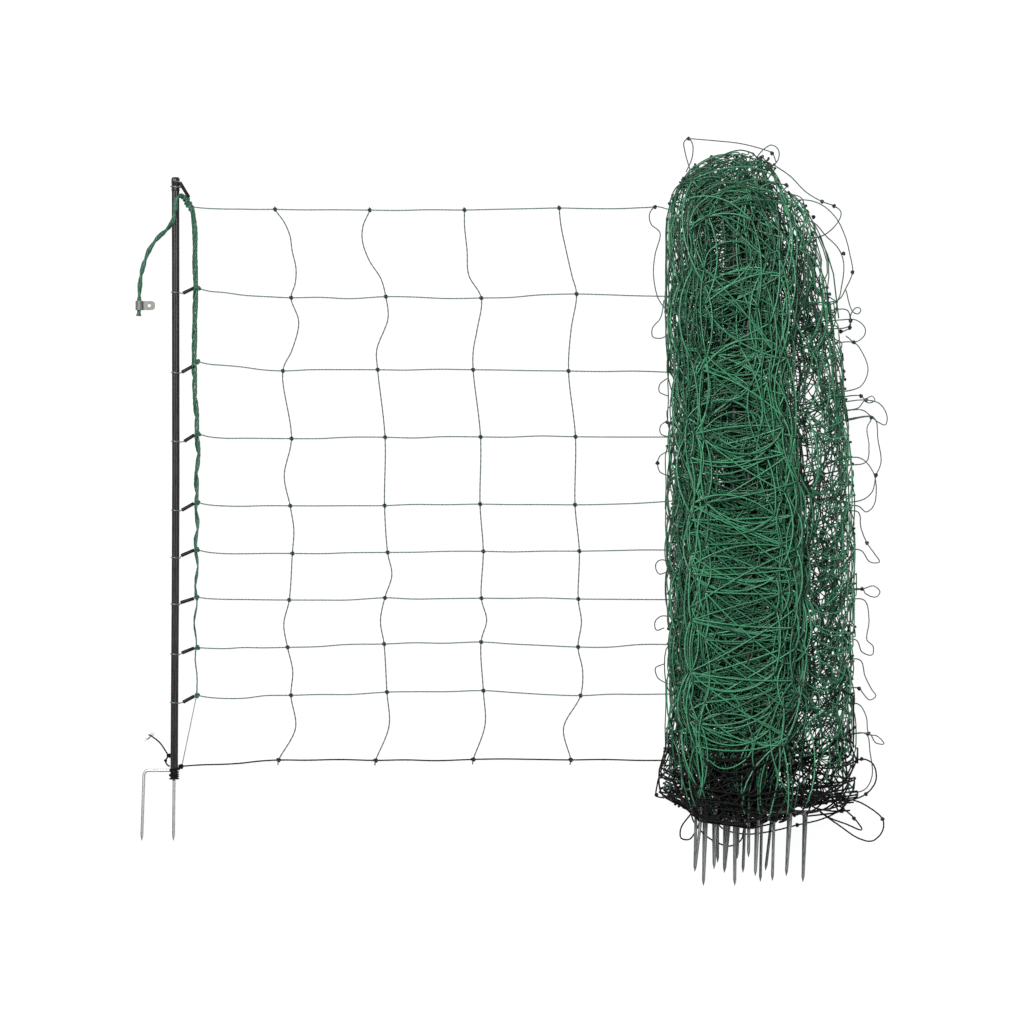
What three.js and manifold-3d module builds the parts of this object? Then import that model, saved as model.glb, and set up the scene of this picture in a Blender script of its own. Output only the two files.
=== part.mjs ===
// Electric sheep netting with its first cells drawn out and the rest folded into a bundle.
// It lies flat: +Z is up from the floor, +Y runs up along the posts and +X along the net.
// All sizes are in millimetres. X = 0 is the end post's axis and Y = 0 is the end post's foot,
// until the last lines shift the whole object onto the centre of its own footprint.
import * as THREE from "three";
import { mergeVertices } from "three/addons/utils/BufferGeometryUtils.js";
import Module from "manifold-3d";

const wasm = await Module();
wasm.setup();

// Clearance kept between pieces that touch on the real object.
const CLEARANCE = 0.3;

// The net: ten lines along X, joined by stays along Y.
const MESH_WIDTH = 150;
const DRAWN_STAYS = 4;
const FIRST_STAY_X = 157;
const BOTTOM_LINE_Y = 30;
const LINE_GAPS = [117, 106, 106, 74, 74, 74, 76, 104]; // from the second line downwards
const TOP_LINE_DROP = 39; // from the post's end down to the top line
const LINE_SHIFTS = [0, 26, 13, 25, 24, 29, 26, 25, 29, 12]; // how far each line is drawn along X
const LINE_WAVE = 2.2;
const LINE_DIAMETER = 2;
const GROUND_LINE_DIAMETER = 2.6;
const STAY_DIAMETER = 2;
// Sideways bulge of each slack stay between two lines, from the top cell downwards.
const STAY_BULGES = [
  [13, 15, -3, -10, 4, 2, -7, 5, 14],
  [-16, 6, -2, -2, -2, 8, -7, 2, 8],
  [-9, 3, 1, -2, -1, 2, 8, -2, 6],
  [9, -5, 0, 2, -4, 5, 5, 5, -17],
];

// The knots moulded round each crossing.
const KNOT_LENGTH = 6.5;
const KNOT_WALL = 1.9;
const STAY_STUB = 3;

// The end post and its double spike. The bundled posts are the same.
const POST_LENGTH = 938;
const POST_DIAMETER = 11.2;
const FOOT_FLANGE_DIAMETER = 12.6;
const FOOT_FLANGE_HEIGHT = 4;
const CAP_WALL = 0.7;
const CAP_LENGTH = 22;
const CAP_CROWN = 12;
const SPIKE_DIAMETER = 5;
const SPIKE_REACH = 97;
const SPIKE_POINT = 9;
const SPIKE_SHANK = 60;
const SPIKE_SPREAD = 50;
const SPIKE_SPLAY = 2.4;
const SPIKE_BEND_RADIUS = 7.5;
const SPIKE_ARM_HEIGHT = 14;
const POST_SIDES = 12;

// Where each line is knotted to the edge cord, and how it is tied to the post.
const EDGE_X = [17.5, 31.5, 29.5, 33.5, 33, 32.5, 32, 31.5, 33.5, 10.5];
const EDGE_RISES = [10.5, 13, 16, 7.5, 4.5, 3.5, 2, -2.5, -1.5, -10]; // above the line's own height
const TIE_DROPS = [0, 7, 19, 13.5, 12.5, 11.5, 10, 10.5, 13.5]; // from the edge knot to the loop
const TOP_LOOP_RISE = 1; // from the post's end to the top line's loop on the cap
const TOP_TIE_BEND_X = 21.5; // where the top tie turns down to its knot
const TOP_TIE_BEND_RISE = 18; // from the top line up to that bend
const GROUND_LOOP_Y = 7.5;
const LOOP_STEPS = 12;
const LOOP_SIDES = 5;
const SLEEVE_DIAMETER = 5.5;
const SLEEVE_START_GAP = 2.5; // from the loop's own line to the sleeve
const SLEEVE_END_GAP = 3.5;

// The edge cord: one strand of every live line, twisted together.
const EDGE_CORD_DIAMETERS = [8, 7.6, 7.2, 6.8, 6.2, 5.4, 4.4, 3.2, 2]; // below each live line
const EDGE_CORD_START_X = 22.5;
const EDGE_CORD_START_RISE = 1; // from the top line
const CORD_SIDES = 8;
const EDGE_KNOT_WALL = 1.6;
const EDGE_KNOT_LENGTH = 8;
const TOP_KNOT_SIZE = [6.4, 12, 6.4];
const GROUND_KNOT_SIZE = [4.6, 5.2, 4.6];

// The connecting lead and the lug clamped on it.
const LEAD_DIAMETER = 7;
// Points along X and Y, and how far each is raised towards lying over the post (0 to 1).
const LEAD_ROUTE = [
  [12.5, 917, 0.15],
  [9.5, 921, 0.66],
  [1.5, 914.5, 1],
  [0, 898.5, 1],
  [-2, 886, 1],
  [-6, 876.5, 0.92],
  [-15, 865.5, 0.45],
  [-25, 857.5, 0.1],
  [-34.5, 846.5, 0],
  [-41.5, 835.5, 0],
  [-46.5, 824, 0],
  [-51, 810, 0],
  [-55, 793, 0],
  [-56.5, 777, 0],
  [-57.5, 759.5, 0],
  [-57.5, 747, 0],
  [-58.5, 731, 0],
];
const LUG_LENGTH = 26;
const LUG_WIDTH = 14;
const LUG_THICKNESS = 1.5;
const LUG_BAND_LENGTH = 14;
const LUG_HOLE_DIAMETER = 5;
const LUG_Y = 752;

// The loose end of the ground line.
const TAIL_DIAMETER = 2.4;
// Points along X and Y, and how far each is raised towards the post's axis (0 to 1). The first
// point's X is left to the loop that the tail comes from.
const TAIL_ROUTE = [
  [0, 20.5, 1],
  [-13.5, 23, 0.6],
  [-16, 29, 0.2],
  [-12.5, 36.5, 0],
  [-17, 46, 0],
  [-25.5, 58, 0],
  [-34.5, 65, 0],
  [-43, 70.5, 0],
];

// The bundle: the rest of the net folded round thirteen posts.
const BUNDLE_X = 905;
const NET_UNDER_POSTS = 2.4;
const NET_BETWEEN_POSTS = 4.8;
const NET_OVER_POSTS = 8.4;
const LINE_ENTRY = 14; // how far a line runs on into the bundle
const GROUND_LINES_TOP = 46; // below this height the bundle is only black ground line
// Each bundled post: its place across the bundle, its level, its foot and the side of its spike.
const BUNDLED_POSTS = [
  { across: -21, level: 0, foot: -72, side: -1 },
  { across: 37, level: 0.5, foot: -66, side: 1 },
  { across: 0, level: 1, foot: -32, side: -1 },
  { across: 19, level: 2, foot: -65, side: -1 },
  { across: -35, level: 3, foot: -51, side: -1 },
  { across: 11, level: 3.5, foot: -57, side: 1 },
  { across: -8, level: 4, foot: -52, side: -1 },
  { across: 9, level: 5, foot: -55, side: -1 },
  { across: 37, level: 5.5, foot: -63, side: 1 },
  { across: -18, level: 6, foot: -30, side: -1 },
  { across: -27, level: 7, foot: -47, side: -1 },
  { across: 12, level: 7.5, foot: -59, side: 1 },
  { across: -5, level: 8, foot: -43, side: -1 },
];
const TOP_LINE_Y = POST_LENGTH - TOP_LINE_DROP;
// Outline of the bundle from its top to its bottom: height along Y, both sides and thickness.
// Its crown goes with the top line.
const BUNDLE_STATIONS = [
  { y: TOP_LINE_Y + 97, left: -52, right: 27, fill: 0.4 },
  { y: TOP_LINE_Y + 85, left: -80, right: 66, fill: 0.64 },
  { y: TOP_LINE_Y + 59, left: -104, right: 92, fill: 0.8 },
  { y: TOP_LINE_Y + 7, left: -131, right: 130, fill: 0.98 },
  { y: TOP_LINE_Y - 79, left: -134, right: 158, fill: 1 },
  { y: 677, left: -134, right: 177, fill: 1 },
  { y: 504, left: -137, right: 188, fill: 1 },
  { y: 314, left: -139, right: 193, fill: 1 },
  { y: 140, left: -137, right: 190, fill: 1 },
  { y: 46, left: -139, right: 187, fill: 1 },
  { y: -5, left: -139, right: 180, fill: 0.99 },
  { y: -46, left: -117, right: 155, fill: 0.98 },
  { y: -80, left: -66, right: 106, fill: 0.94 },
];
// One section across the bundle, as shares of its width and thickness: thick over the posts and
// thinner to the right, where only loose folds lie.
const BUNDLE_SECTION = [
  [0.05, 0],
  [0.95, 0],
  [1, 0.1],
  [1, 0.32],
  [0.93, 0.5],
  [0.8, 0.66],
  [0.66, 0.97],
  [0.4, 1],
  [0.15, 0.96],
  [0.02, 0.75],
  [0, 0.4],
  [0, 0.1],
];

// Sizes worked out from those above.
const LINE_COUNT = LINE_GAPS.length + 2;
const GROUND = LINE_COUNT - 1;
const POST_RADIUS = POST_DIAMETER / 2;
const CAP_RADIUS = POST_RADIUS + CLEARANCE + CAP_WALL;
const TOP_LOOP_Y = POST_LENGTH + TOP_LOOP_RISE;
const STRAND_SIDES = 4;
const LINE_CORNER = cornerRadius(LINE_DIAMETER / 2, STRAND_SIDES);
const GROUND_LINE_CORNER = cornerRadius(GROUND_LINE_DIAMETER / 2, STRAND_SIDES);
const STAY_CORNER = cornerRadius(STAY_DIAMETER / 2, STRAND_SIDES);
const LEAD_CORNER = cornerRadius(LEAD_DIAMETER / 2, CORD_SIDES);
const TAIL_CORNER = cornerRadius(TAIL_DIAMETER / 2, CORD_SIDES);
const TOP_LOOP_RADIUS = loopRadius(CAP_RADIUS, LINE_DIAMETER);
const LOOP_RADIUS = loopRadius(POST_RADIUS, LINE_DIAMETER);
const GROUND_LOOP_RADIUS = loopRadius(POST_RADIUS, GROUND_LINE_DIAMETER);
const GROUND_LOOP_REACH = GROUND_LOOP_RADIUS + cornerRadius(GROUND_LINE_DIAMETER / 2, LOOP_SIDES);
const TOP_LOOP_REACH = TOP_LOOP_RADIUS + cornerRadius(LINE_DIAMETER / 2, LOOP_SIDES);
const POST_Z = Math.max(TOP_LOOP_REACH, GROUND_LOOP_REACH);
const LEAD_BORE = boreRound(LEAD_CORNER, CORD_SIDES);
const LEAD_REST_Z = LEAD_BORE + LUG_THICKNESS;
const LEAD_OVER_Z = POST_Z + POST_RADIUS + CLEARANCE + LEAD_CORNER;
const LEVEL_GAP = POST_DIAMETER + NET_BETWEEN_POSTS;
const FIRST_LEVEL_Z = NET_UNDER_POSTS + POST_RADIUS;
const TOP_LEVEL = Math.max(...BUNDLED_POSTS.map((post) => post.level));
const BUNDLE_THICKNESS = FIRST_LEVEL_Z + TOP_LEVEL * LEVEL_GAP + POST_RADIUS + NET_OVER_POSTS;
const KNOT_SIDES = 6;
const KNOT_BORE = boreRound(STAY_CORNER, KNOT_SIDES);
const KNOT_RADIUS = KNOT_BORE + KNOT_WALL;
const STAY_Z = KNOT_RADIUS;

// Colours and finishes.
const green = finish(0x2f7d5a, 0.55);
const black = finish(0x17191a, 0.6);
const postBlack = finish(0x2b2b27, 0.45);
const steel = finish(0xa9adad, 0.35, 0.9);

function finish(color, roughness, metalness = 0) {
  return new THREE.MeshStandardMaterial({ color, roughness, metalness });
}

// The corner radius of a regular polygon with the same area as a circle.
function cornerRadius(radius, sides) {
  return radius * Math.sqrt((2 * Math.PI) / (sides * Math.sin((2 * Math.PI) / sides)));
}

// The corner radius of a bore with flat walls that clears a strand's corners.
function boreRound(corner, sides) {
  return (corner + CLEARANCE) / Math.cos(Math.PI / sides);
}

// The radius of the centreline of a cord loop that clears a rod.
function loopRadius(inside, diameter) {
  return boreRound(inside, LOOP_STEPS) + cornerRadius(diameter / 2, LOOP_SIDES);
}

// A path that visits its points one by one, with no spacing of its own.
class Route extends THREE.Curve {
  constructor(points) {
    super();
    this.points = points;
  }
  getPoint(t, target = new THREE.Vector3()) {
    const last = this.points.length - 1;
    const step = Math.max(0, Math.min(Math.floor(t * last + 1e-9), last - 1));
    return target.lerpVectors(this.points[step], this.points[step + 1], t * last - step);
  }
  getPointAt(u, target) {
    return this.getPoint(u, target);
  }
  getTangentAt(u, target = new THREE.Vector3()) {
    const last = this.points.length - 1;
    const here = Math.round(u * last);
    target.set(0, 0, 0);
    for (const step of [here - 1, here]) {
      if (step < 0 || step >= last) continue;
      const along = this.points[step + 1].clone().sub(this.points[step]);
      target.add(along.normalize());
    }
    return target.normalize();
  }
}

function polygon(radius, sides) {
  const corners = [];
  for (let i = 0; i < sides; i++) {
    const angle = ((i + 0.5) / sides) * 2 * Math.PI;
    corners.push(new THREE.Vector2(radius * Math.cos(angle), radius * Math.sin(angle)));
  }
  return new THREE.Shape(corners);
}

// A strand along the points, as a prism with few sides.
function strand(points, corner, sides = STRAND_SIDES) {
  const extrudePath = new Route(points);
  return new THREE.ExtrudeGeometry(polygon(corner, sides), { steps: points.length - 1, extrudePath });
}

// Evenly spaced points on a smooth curve through a few chosen ones.
function smooth(points, steps) {
  return new THREE.CatmullRomCurve3(points, false, "centripetal").getSpacedPoints(steps);
}

// The same points with both ends drawn out.
function drawnOut(points, length) {
  const [first, second] = points;
  const [beforeLast, last] = points.slice(-2);
  const start = first.clone().sub(second).setLength(length).add(first);
  const end = last.clone().sub(beforeLast).setLength(length).add(last);
  return [start, ...points.slice(1, -1), end];
}

function solidOf(geometry) {
  const bare = geometry.clone();
  bare.deleteAttribute("normal");
  bare.deleteAttribute("uv");
  const merged = mergeVertices(bare, 1e-4);
  const corners = merged.index.array;
  const triangles = [];
  for (let i = 0; i < corners.length; i += 3) {
    const [a, b, c] = corners.slice(i, i + 3);
    if (a !== b && b !== c && c !== a) triangles.push(a, b, c);
  }
  const mesh = new wasm.Mesh({
    numProp: 3,
    vertProperties: merged.attributes.position.array,
    triVerts: new Uint32Array(triangles),
  });
  return new wasm.Manifold(mesh);
}

function geometryOf(solid) {
  const mesh = solid.getMesh();
  const geometry = new THREE.BufferGeometry();
  geometry.setAttribute("position", new THREE.BufferAttribute(mesh.vertProperties, 3));
  geometry.setIndex(new THREE.BufferAttribute(mesh.triVerts, 1));
  geometry.computeVertexNormals();
  return geometry;
}

function joined(geometries) {
  return geometries.map(solidOf).reduce((sum, next) => sum.add(next));
}

// The largest body of a solid, without the slivers that a cut can leave at a tapered edge.
function largestBody(solid) {
  return solid.decompose().reduce((best, next) => (next.volume() > best.volume() ? next : best));
}

function vector(x, y, z) {
  return new THREE.Vector3(x, y, z);
}

const netting = new THREE.Group();

function place(name, geometry, material) {
  const mesh = new THREE.Mesh(geometry, material);
  mesh.name = name;
  netting.add(mesh);
  return mesh;
}

function numbered(name, index) {
  return `${name}_${String(index + 1).padStart(2, "0")}`;
}

// Heights of the lines along Y.
const lineY = LINE_GAPS.reduce(
  (heights, gap) => [...heights, heights.at(-1) - gap],
  [TOP_LINE_Y, BOTTOM_LINE_Y + LINE_GAPS.reduce((sum, gap) => sum + gap)],
);

function lineDiameter(line) {
  return line === GROUND ? GROUND_LINE_DIAMETER : LINE_DIAMETER;
}

function lineCorner(line) {
  return line === GROUND ? GROUND_LINE_CORNER : LINE_CORNER;
}

// A line lies over the stays, with the clearance between.
function lineZ(line) {
  return STAY_Z + STAY_CORNER + CLEARANCE + lineCorner(line);
}

function crossing(line, stay) {
  return vector(FIRST_STAY_X + stay * MESH_WIDTH + LINE_SHIFTS[line], lineY[line], lineZ(line));
}

function edgeKnot(line) {
  return vector(EDGE_X[line], lineY[line] + EDGE_RISES[line], edgeZ(line));
}

// The cord lies as high as its thickest knot needs.
function edgeZ(line) {
  return Math.max(lineZ(line), edgeBore(line) + EDGE_KNOT_WALL);
}

function edgeCordCorner(line) {
  return cornerRadius(EDGE_CORD_DIAMETERS[line] / 2, CORD_SIDES);
}

// The bore of a line's edge knot, for the cord as thick as it is above the line.
function edgeBore(line) {
  return boreRound(edgeCordCorner(Math.max(line - 1, 0)), CORD_SIDES);
}

// Points of a stay or of the edge cord: straight through each knot, and bulging between knots.
function slackRoute(knots, bulges, knotLength) {
  const shares = [0.22, 0.4, 0.6, 0.78];
  const points = [];
  knots.forEach((knot, i) => {
    const half = knotLength / 2 + CLEARANCE;
    if (i > 0) points.push(vector(knot.x, knot.y + half, knot.z));
    points.push(knot);
    if (i === knots.length - 1) return;
    points.push(vector(knot.x, knot.y - half, knot.z));
    for (const share of shares) {
      const next = knots[i + 1];
      const eased = share * share * (3 - 2 * share);
      const bulge = bulges[i] * Math.sin(Math.PI * share) ** 2;
      points.push(
        vector(
          knot.x + (next.x - knot.x) * eased + bulge,
          knot.y + (next.y - knot.y) * share,
          knot.z + (next.z - knot.z) * eased,
        ),
      );
    }
  });
  return points;
}

// A moulded or tied knot round a strand that runs along Y.
function ringKnot(centre, bore, radius, length, sides) {
  const half = length / 2;
  const profile = [
    new THREE.Vector2(bore, -half),
    new THREE.Vector2(radius, -half * 0.45),
    new THREE.Vector2(radius, half * 0.45),
    new THREE.Vector2(bore, half),
    new THREE.Vector2(bore, -half),
  ];
  const ring = new THREE.LatheGeometry(profile, sides);
  return ring.translate(centre.x, centre.y, centre.z);
}

// A cord loop round the post.
function postLoop(y, radius, diameter) {
  const tube = cornerRadius(diameter / 2, LOOP_SIDES);
  const loop = new THREE.TorusGeometry(radius, tube, LOOP_SIDES, LOOP_STEPS);
  return loop.rotateX(Math.PI / 2).translate(0, y, POST_Z);
}

// The tie that runs from the loop on the post to the edge knot.
function tieRoute(line) {
  const knot = edgeKnot(line);
  if (line === 0) {
    const bend = vector(TOP_TIE_BEND_X, TOP_LINE_Y + TOP_TIE_BEND_RISE, (POST_Z + knot.z) / 2);
    return [vector(TOP_LOOP_RADIUS, TOP_LOOP_Y, POST_Z), bend, knot];
  }
  if (line === GROUND) return [vector(GROUND_LOOP_RADIUS, GROUND_LOOP_Y, POST_Z), knot];
  const start = vector(LOOP_RADIUS, knot.y - TIE_DROPS[line], POST_Z);
  return [start, vector(knot.x - edgeBore(line) - EDGE_KNOT_WALL / 2, knot.y, knot.z)];
}

// An oval knot, scaled from a round one.
function ovalKnot(centre, size, tilt) {
  const ball = new THREE.IcosahedronGeometry(1, 1).scale(...size);
  return ball.rotateZ(tilt).translate(centre.x, centre.y, centre.z);
}

function lineEndX(line) {
  const station = BUNDLE_STATIONS.find((next) => next.y <= lineY[line]);
  return BUNDLE_X + station.left + LINE_ENTRY;
}

// The line itself, from its edge knot to where it runs into the bundle.
function lineRoute(line) {
  const start = edgeKnot(line);
  const end = lineEndX(line);
  if (line > 0 && line < GROUND) start.x += edgeBore(line) + EDGE_KNOT_WALL / 2;
  const stops = [start];
  for (let stay = 0; stay < DRAWN_STAYS; stay++) stops.push(crossing(line, stay));
  stops.push(vector(end, lineY[line], lineZ(line)));
  const points = [];
  stops.forEach((stop, i) => {
    points.push(stop);
    if (i === stops.length - 1) return;
    for (const share of [0.3, 0.68]) {
      const wave = LINE_WAVE * Math.sin(2.1 * line + 1.7 * i + 4 * share);
      const between = new THREE.Vector3().lerpVectors(stop, stops[i + 1], share);
      between.y += wave;
      points.push(between);
    }
  });
  return points;
}

const leadCurve = smooth(
  LEAD_ROUTE.map(([x, y, raised]) =>
    vector(x, y, LEAD_REST_Z + (LEAD_OVER_Z - LEAD_REST_Z) * raised),
  ),
  44,
);

// The edge cord, thinner below each line where one strand leaves it, and the space it needs.
function edgeCord() {
  const tight = [];
  const space = [];
  const cordStart = vector(EDGE_CORD_START_X, TOP_LINE_Y + EDGE_CORD_START_RISE, edgeZ(0));
  for (let line = 0; line < GROUND; line++) {
    const from = line === 0 ? cordStart : edgeKnot(line);
    const to = edgeKnot(line + 1);
    const points = slackRoute([from, to], [line % 2 ? 2 : -2], EDGE_KNOT_LENGTH);
    if (line === GROUND - 1) points.pop();
    if (line > 0) points[0].y += CLEARANCE;
    const corner = edgeCordCorner(line);
    tight.push(strand(points, corner, CORD_SIDES));
    const bore = boreRound(corner, CORD_SIDES);
    space.push(strand(drawnOut(points, CLEARANCE), bore, CORD_SIDES));
  }
  return [joined(tight), joined(space)];
}

const [edgeCordBody, edgeCordSpace] = edgeCord();

// One line of the net with its tie to the post and the knots moulded on it.
function netLine(line) {
  const diameter = lineDiameter(line);
  const corner = lineCorner(line);
  const knot = edgeKnot(line);
  const tie = tieRoute(line);
  const parts = [strand(lineRoute(line), corner), strand(tie, corner)];
  for (let stay = 0; stay < DRAWN_STAYS; stay++) {
    const centre = crossing(line, stay).setZ(STAY_Z);
    parts.push(ringKnot(centre, KNOT_BORE, KNOT_RADIUS, KNOT_LENGTH, KNOT_SIDES));
  }
  if (line === 0) {
    parts.push(postLoop(TOP_LOOP_Y, TOP_LOOP_RADIUS, diameter));
    parts.push(ovalKnot(knot, TOP_KNOT_SIZE, 0.6));
  } else if (line === GROUND) {
    parts.push(postLoop(GROUND_LOOP_Y, GROUND_LOOP_RADIUS, diameter));
    parts.push(postLoop(knot.y, GROUND_LOOP_RADIUS, diameter));
    parts.push(ovalKnot(knot, GROUND_KNOT_SIZE, -0.6));
  } else {
    const radius = edgeBore(line) + EDGE_KNOT_WALL;
    parts.push(postLoop(tie[0].y, LOOP_RADIUS, diameter));
    parts.push(ringKnot(knot, edgeBore(line), radius, EDGE_KNOT_LENGTH, CORD_SIDES));
  }
  if (line > 0 && line < GROUND) return joined(parts);
  const leadSpace = strand(drawnOut(leadCurve, CLEARANCE), LEAD_BORE, CORD_SIDES);
  return largestBody(joined(parts).subtract(edgeCordSpace).subtract(solidOf(leadSpace)));
}

// The insulating sleeve on a tie.
function sleeve(line) {
  const [start, end] = tieRoute(line);
  const length = start.distanceTo(end) - SLEEVE_START_GAP - SLEEVE_END_GAP;
  const along = end.clone().sub(start).normalize();
  const bore = boreRound(LINE_CORNER, CORD_SIDES);
  const outer = SLEEVE_DIAMETER / 2;
  const profile = [
    [bore, 0],
    [outer, 0],
    [outer, length],
    [bore, length],
    [bore, 0],
  ].map((point) => new THREE.Vector2(...point));
  const turn = new THREE.Quaternion().setFromUnitVectors(vector(0, 1, 0), along);
  const mesh = place(numbered("tie_sleeve", line), new THREE.LatheGeometry(profile, CORD_SIDES), black);
  mesh.quaternion.copy(turn);
  mesh.position.copy(start).addScaledVector(along, SLEEVE_START_GAP);
}

// A post rod: flanged foot, blind bore for the spike and a slot for the spike's side arm.
function postRod() {
  const bore = SPIKE_DIAMETER / 2 + CLEARANCE;
  const flange = FOOT_FLANGE_DIAMETER / 2;
  const depth = SPIKE_SHANK + CLEARANCE;
  const profile = [
    [0, depth],
    [bore, depth],
    [bore, 0],
    [flange, 0],
    [flange, FOOT_FLANGE_HEIGHT],
    [POST_RADIUS, FOOT_FLANGE_HEIGHT],
    [POST_RADIUS, POST_LENGTH],
    [0, POST_LENGTH],
  ].map((point) => new THREE.Vector2(...point));
  const slotWidth = SPIKE_DIAMETER + 4 * CLEARANCE;
  const slotHeight = SPIKE_ARM_HEIGHT + slotWidth / 2;
  const slot = new THREE.BoxGeometry(2 * flange, slotHeight, slotWidth);
  slot.translate(-flange, slotHeight / 2, 0);
  return solidOf(new THREE.LatheGeometry(profile, POST_SIDES)).subtract(solidOf(slot));
}

// The double spike: a straight prong on the post's axis and a bent one beside it.
function doubleSpike(margin, sides) {
  const radius = SPIKE_DIAMETER / 2 + margin;
  const tip = -SPIKE_REACH - margin;
  const profile = [
    [0, tip],
    [radius, tip + SPIKE_POINT],
    [radius, SPIKE_SHANK + margin],
    [0, SPIKE_SHANK + margin],
  ].map((point) => new THREE.Vector2(...point));
  const points = [vector(0, SPIKE_ARM_HEIGHT, 0)];
  const bendX = -SPIKE_SPREAD + SPIKE_BEND_RADIUS;
  const bendY = SPIKE_ARM_HEIGHT - SPIKE_BEND_RADIUS;
  const bendSteps = 4;
  for (let i = 0; i <= bendSteps; i++) {
    const angle = (i / bendSteps) * (Math.PI / 2);
    const x = bendX - SPIKE_BEND_RADIUS * Math.sin(angle);
    points.push(vector(x, bendY + SPIKE_BEND_RADIUS * Math.cos(angle), 0));
  }
  const endX = -SPIKE_SPREAD - SPIKE_SPLAY;
  points.push(vector(endX, tip + SPIKE_POINT, 0));
  const sideTip = new THREE.ConeGeometry(radius, SPIKE_POINT, sides, 1);
  sideTip.rotateX(Math.PI).translate(endX, tip + SPIKE_POINT / 2, 0);
  const main = new THREE.LatheGeometry(profile, sides);
  return joined([main, strand(points, radius, sides), sideTip]);
}

// The space that a post and its spike need in the bundle.
function postSpace() {
  const rodRadius = POST_RADIUS + CLEARANCE;
  const rodLength = POST_LENGTH + 2 * CLEARANCE;
  const rodSpace = new THREE.CylinderGeometry(rodRadius, rodRadius, rodLength, POST_SIDES);
  rodSpace.translate(0, POST_LENGTH / 2, 0);
  const flangeRadius = FOOT_FLANGE_DIAMETER / 2 + CLEARANCE;
  const flangeHeight = FOOT_FLANGE_HEIGHT + 2 * CLEARANCE;
  const flangeSpace = new THREE.CylinderGeometry(flangeRadius, flangeRadius, flangeHeight, POST_SIDES);
  flangeSpace.translate(0, FOOT_FLANGE_HEIGHT / 2, 0);
  return joined([rodSpace, flangeSpace]).add(doubleSpike(CLEARANCE, 6));
}

function postAt(x, y, z, side) {
  const turn = side < 0 ? 0 : Math.PI;
  return new THREE.Matrix4().makeRotationY(turn).setPosition(x, y, z);
}

function moved(solid, matrix) {
  return solidOf(geometryOf(solid).applyMatrix4(matrix));
}

// The cap pressed over the end post's top.
function postCap() {
  const bore = POST_RADIUS + CLEARANCE;
  const seat = POST_LENGTH + CLEARANCE;
  const skirt = POST_LENGTH + CAP_CROWN - CAP_LENGTH;
  const top = POST_LENGTH + CAP_CROWN;
  const profile = [
    [0, seat],
    [bore, seat],
    [bore, skirt],
    [CAP_RADIUS, skirt],
    [CAP_RADIUS, top - 2],
    [CAP_RADIUS - 1.5, top],
    [0, top],
  ].map((point) => new THREE.Vector2(...point));
  return new THREE.LatheGeometry(profile, POST_SIDES).translate(0, 0, POST_Z);
}

// The lug: a flat tab with a hole, and a band folded round the lead.
function connectingLug() {
  const onLead = leadCurve.reduce((best, next) =>
    Math.abs(next.y - LUG_Y) < Math.abs(best.y - LUG_Y) ? next : best,
  );
  const half = LUG_WIDTH / 2;
  const hole = LUG_HOLE_DIAMETER / 2;
  const shoulder = LUG_LENGTH - half;
  const outline = new THREE.Shape();
  outline.moveTo(0, -half);
  outline.lineTo(shoulder, -half);
  outline.lineTo(LUG_LENGTH, -half * 0.4);
  outline.lineTo(LUG_LENGTH, half * 0.4);
  outline.lineTo(shoulder, half);
  outline.lineTo(0, half);
  outline.holes.push(polygonPath(shoulder - hole, 0, hole, 8));
  const tab = new THREE.ExtrudeGeometry(outline, { depth: LUG_THICKNESS, bevelEnabled: false });
  const bandProfile = [
    [LEAD_BORE, -LUG_BAND_LENGTH / 2],
    [LEAD_REST_Z, -LUG_BAND_LENGTH / 2],
    [LEAD_REST_Z, LUG_BAND_LENGTH / 2],
    [LEAD_BORE, LUG_BAND_LENGTH / 2],
    [LEAD_BORE, -LUG_BAND_LENGTH / 2],
  ].map((point) => new THREE.Vector2(...point));
  const band = new THREE.LatheGeometry(bandProfile, CORD_SIDES);
  band.translate(0, 0, LEAD_REST_Z);
  const lug = joined([band, tab]);
  return moved(lug, new THREE.Matrix4().makeTranslation(onLead.x, onLead.y, 0));
}

function polygonPath(x, y, radius, sides) {
  const path = new THREE.Path();
  for (let i = 0; i <= sides; i++) {
    const angle = (-i / sides) * 2 * Math.PI;
    const corner = [x + radius * Math.cos(angle), y + radius * Math.sin(angle)];
    if (i === 0) path.moveTo(...corner);
    else path.lineTo(...corner);
  }
  return path;
}

// The folded net as one plain body, shaped by its stations.
function bundleBody() {
  const section = new THREE.Shape(BUNDLE_SECTION.map((point) => new THREE.Vector2(...point)));
  const steps = BUNDLE_STATIONS.length - 1;
  const body = new THREE.ExtrudeGeometry(section, { steps, depth: 1, bevelEnabled: false });
  const corners = body.attributes.position;
  for (let i = 0; i < corners.count; i++) {
    const station = BUNDLE_STATIONS[Math.round(corners.getZ(i) * steps)];
    const width = station.right - station.left;
    corners.setXYZ(
      i,
      BUNDLE_X + station.left + width * corners.getX(i),
      station.y,
      corners.getY(i) * BUNDLE_THICKNESS * station.fill,
    );
  }
  return solidOf(body);
}

// Half of the space, above or below a height along Y.
function halfSpace(y, sign) {
  const size = 4000;
  return solidOf(new THREE.BoxGeometry(size, size, size).translate(BUNDLE_X, y + (sign * size) / 2, 0));
}

// The lines and stays that are drawn out.
for (let line = 0; line < LINE_COUNT; line++) {
  const material = line === GROUND ? black : green;
  const name = line === GROUND ? "ground_line" : numbered("live_line", line);
  place(name, geometryOf(netLine(line)), material);
  if (line < GROUND) sleeve(line);
}
for (let stay = 0; stay < DRAWN_STAYS; stay++) {
  const knots = lineY.map((_, line) => crossing(line, stay).setZ(STAY_Z));
  const points = slackRoute(knots, STAY_BULGES[stay], KNOT_LENGTH);
  const stub = KNOT_LENGTH / 2 + STAY_STUB;
  points.unshift(points[0].clone().setY(points[0].y + stub));
  points.push(points.at(-1).clone().setY(points.at(-1).y - stub));
  place(numbered("stay", stay), strand(points, STAY_CORNER), green);
}

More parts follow.
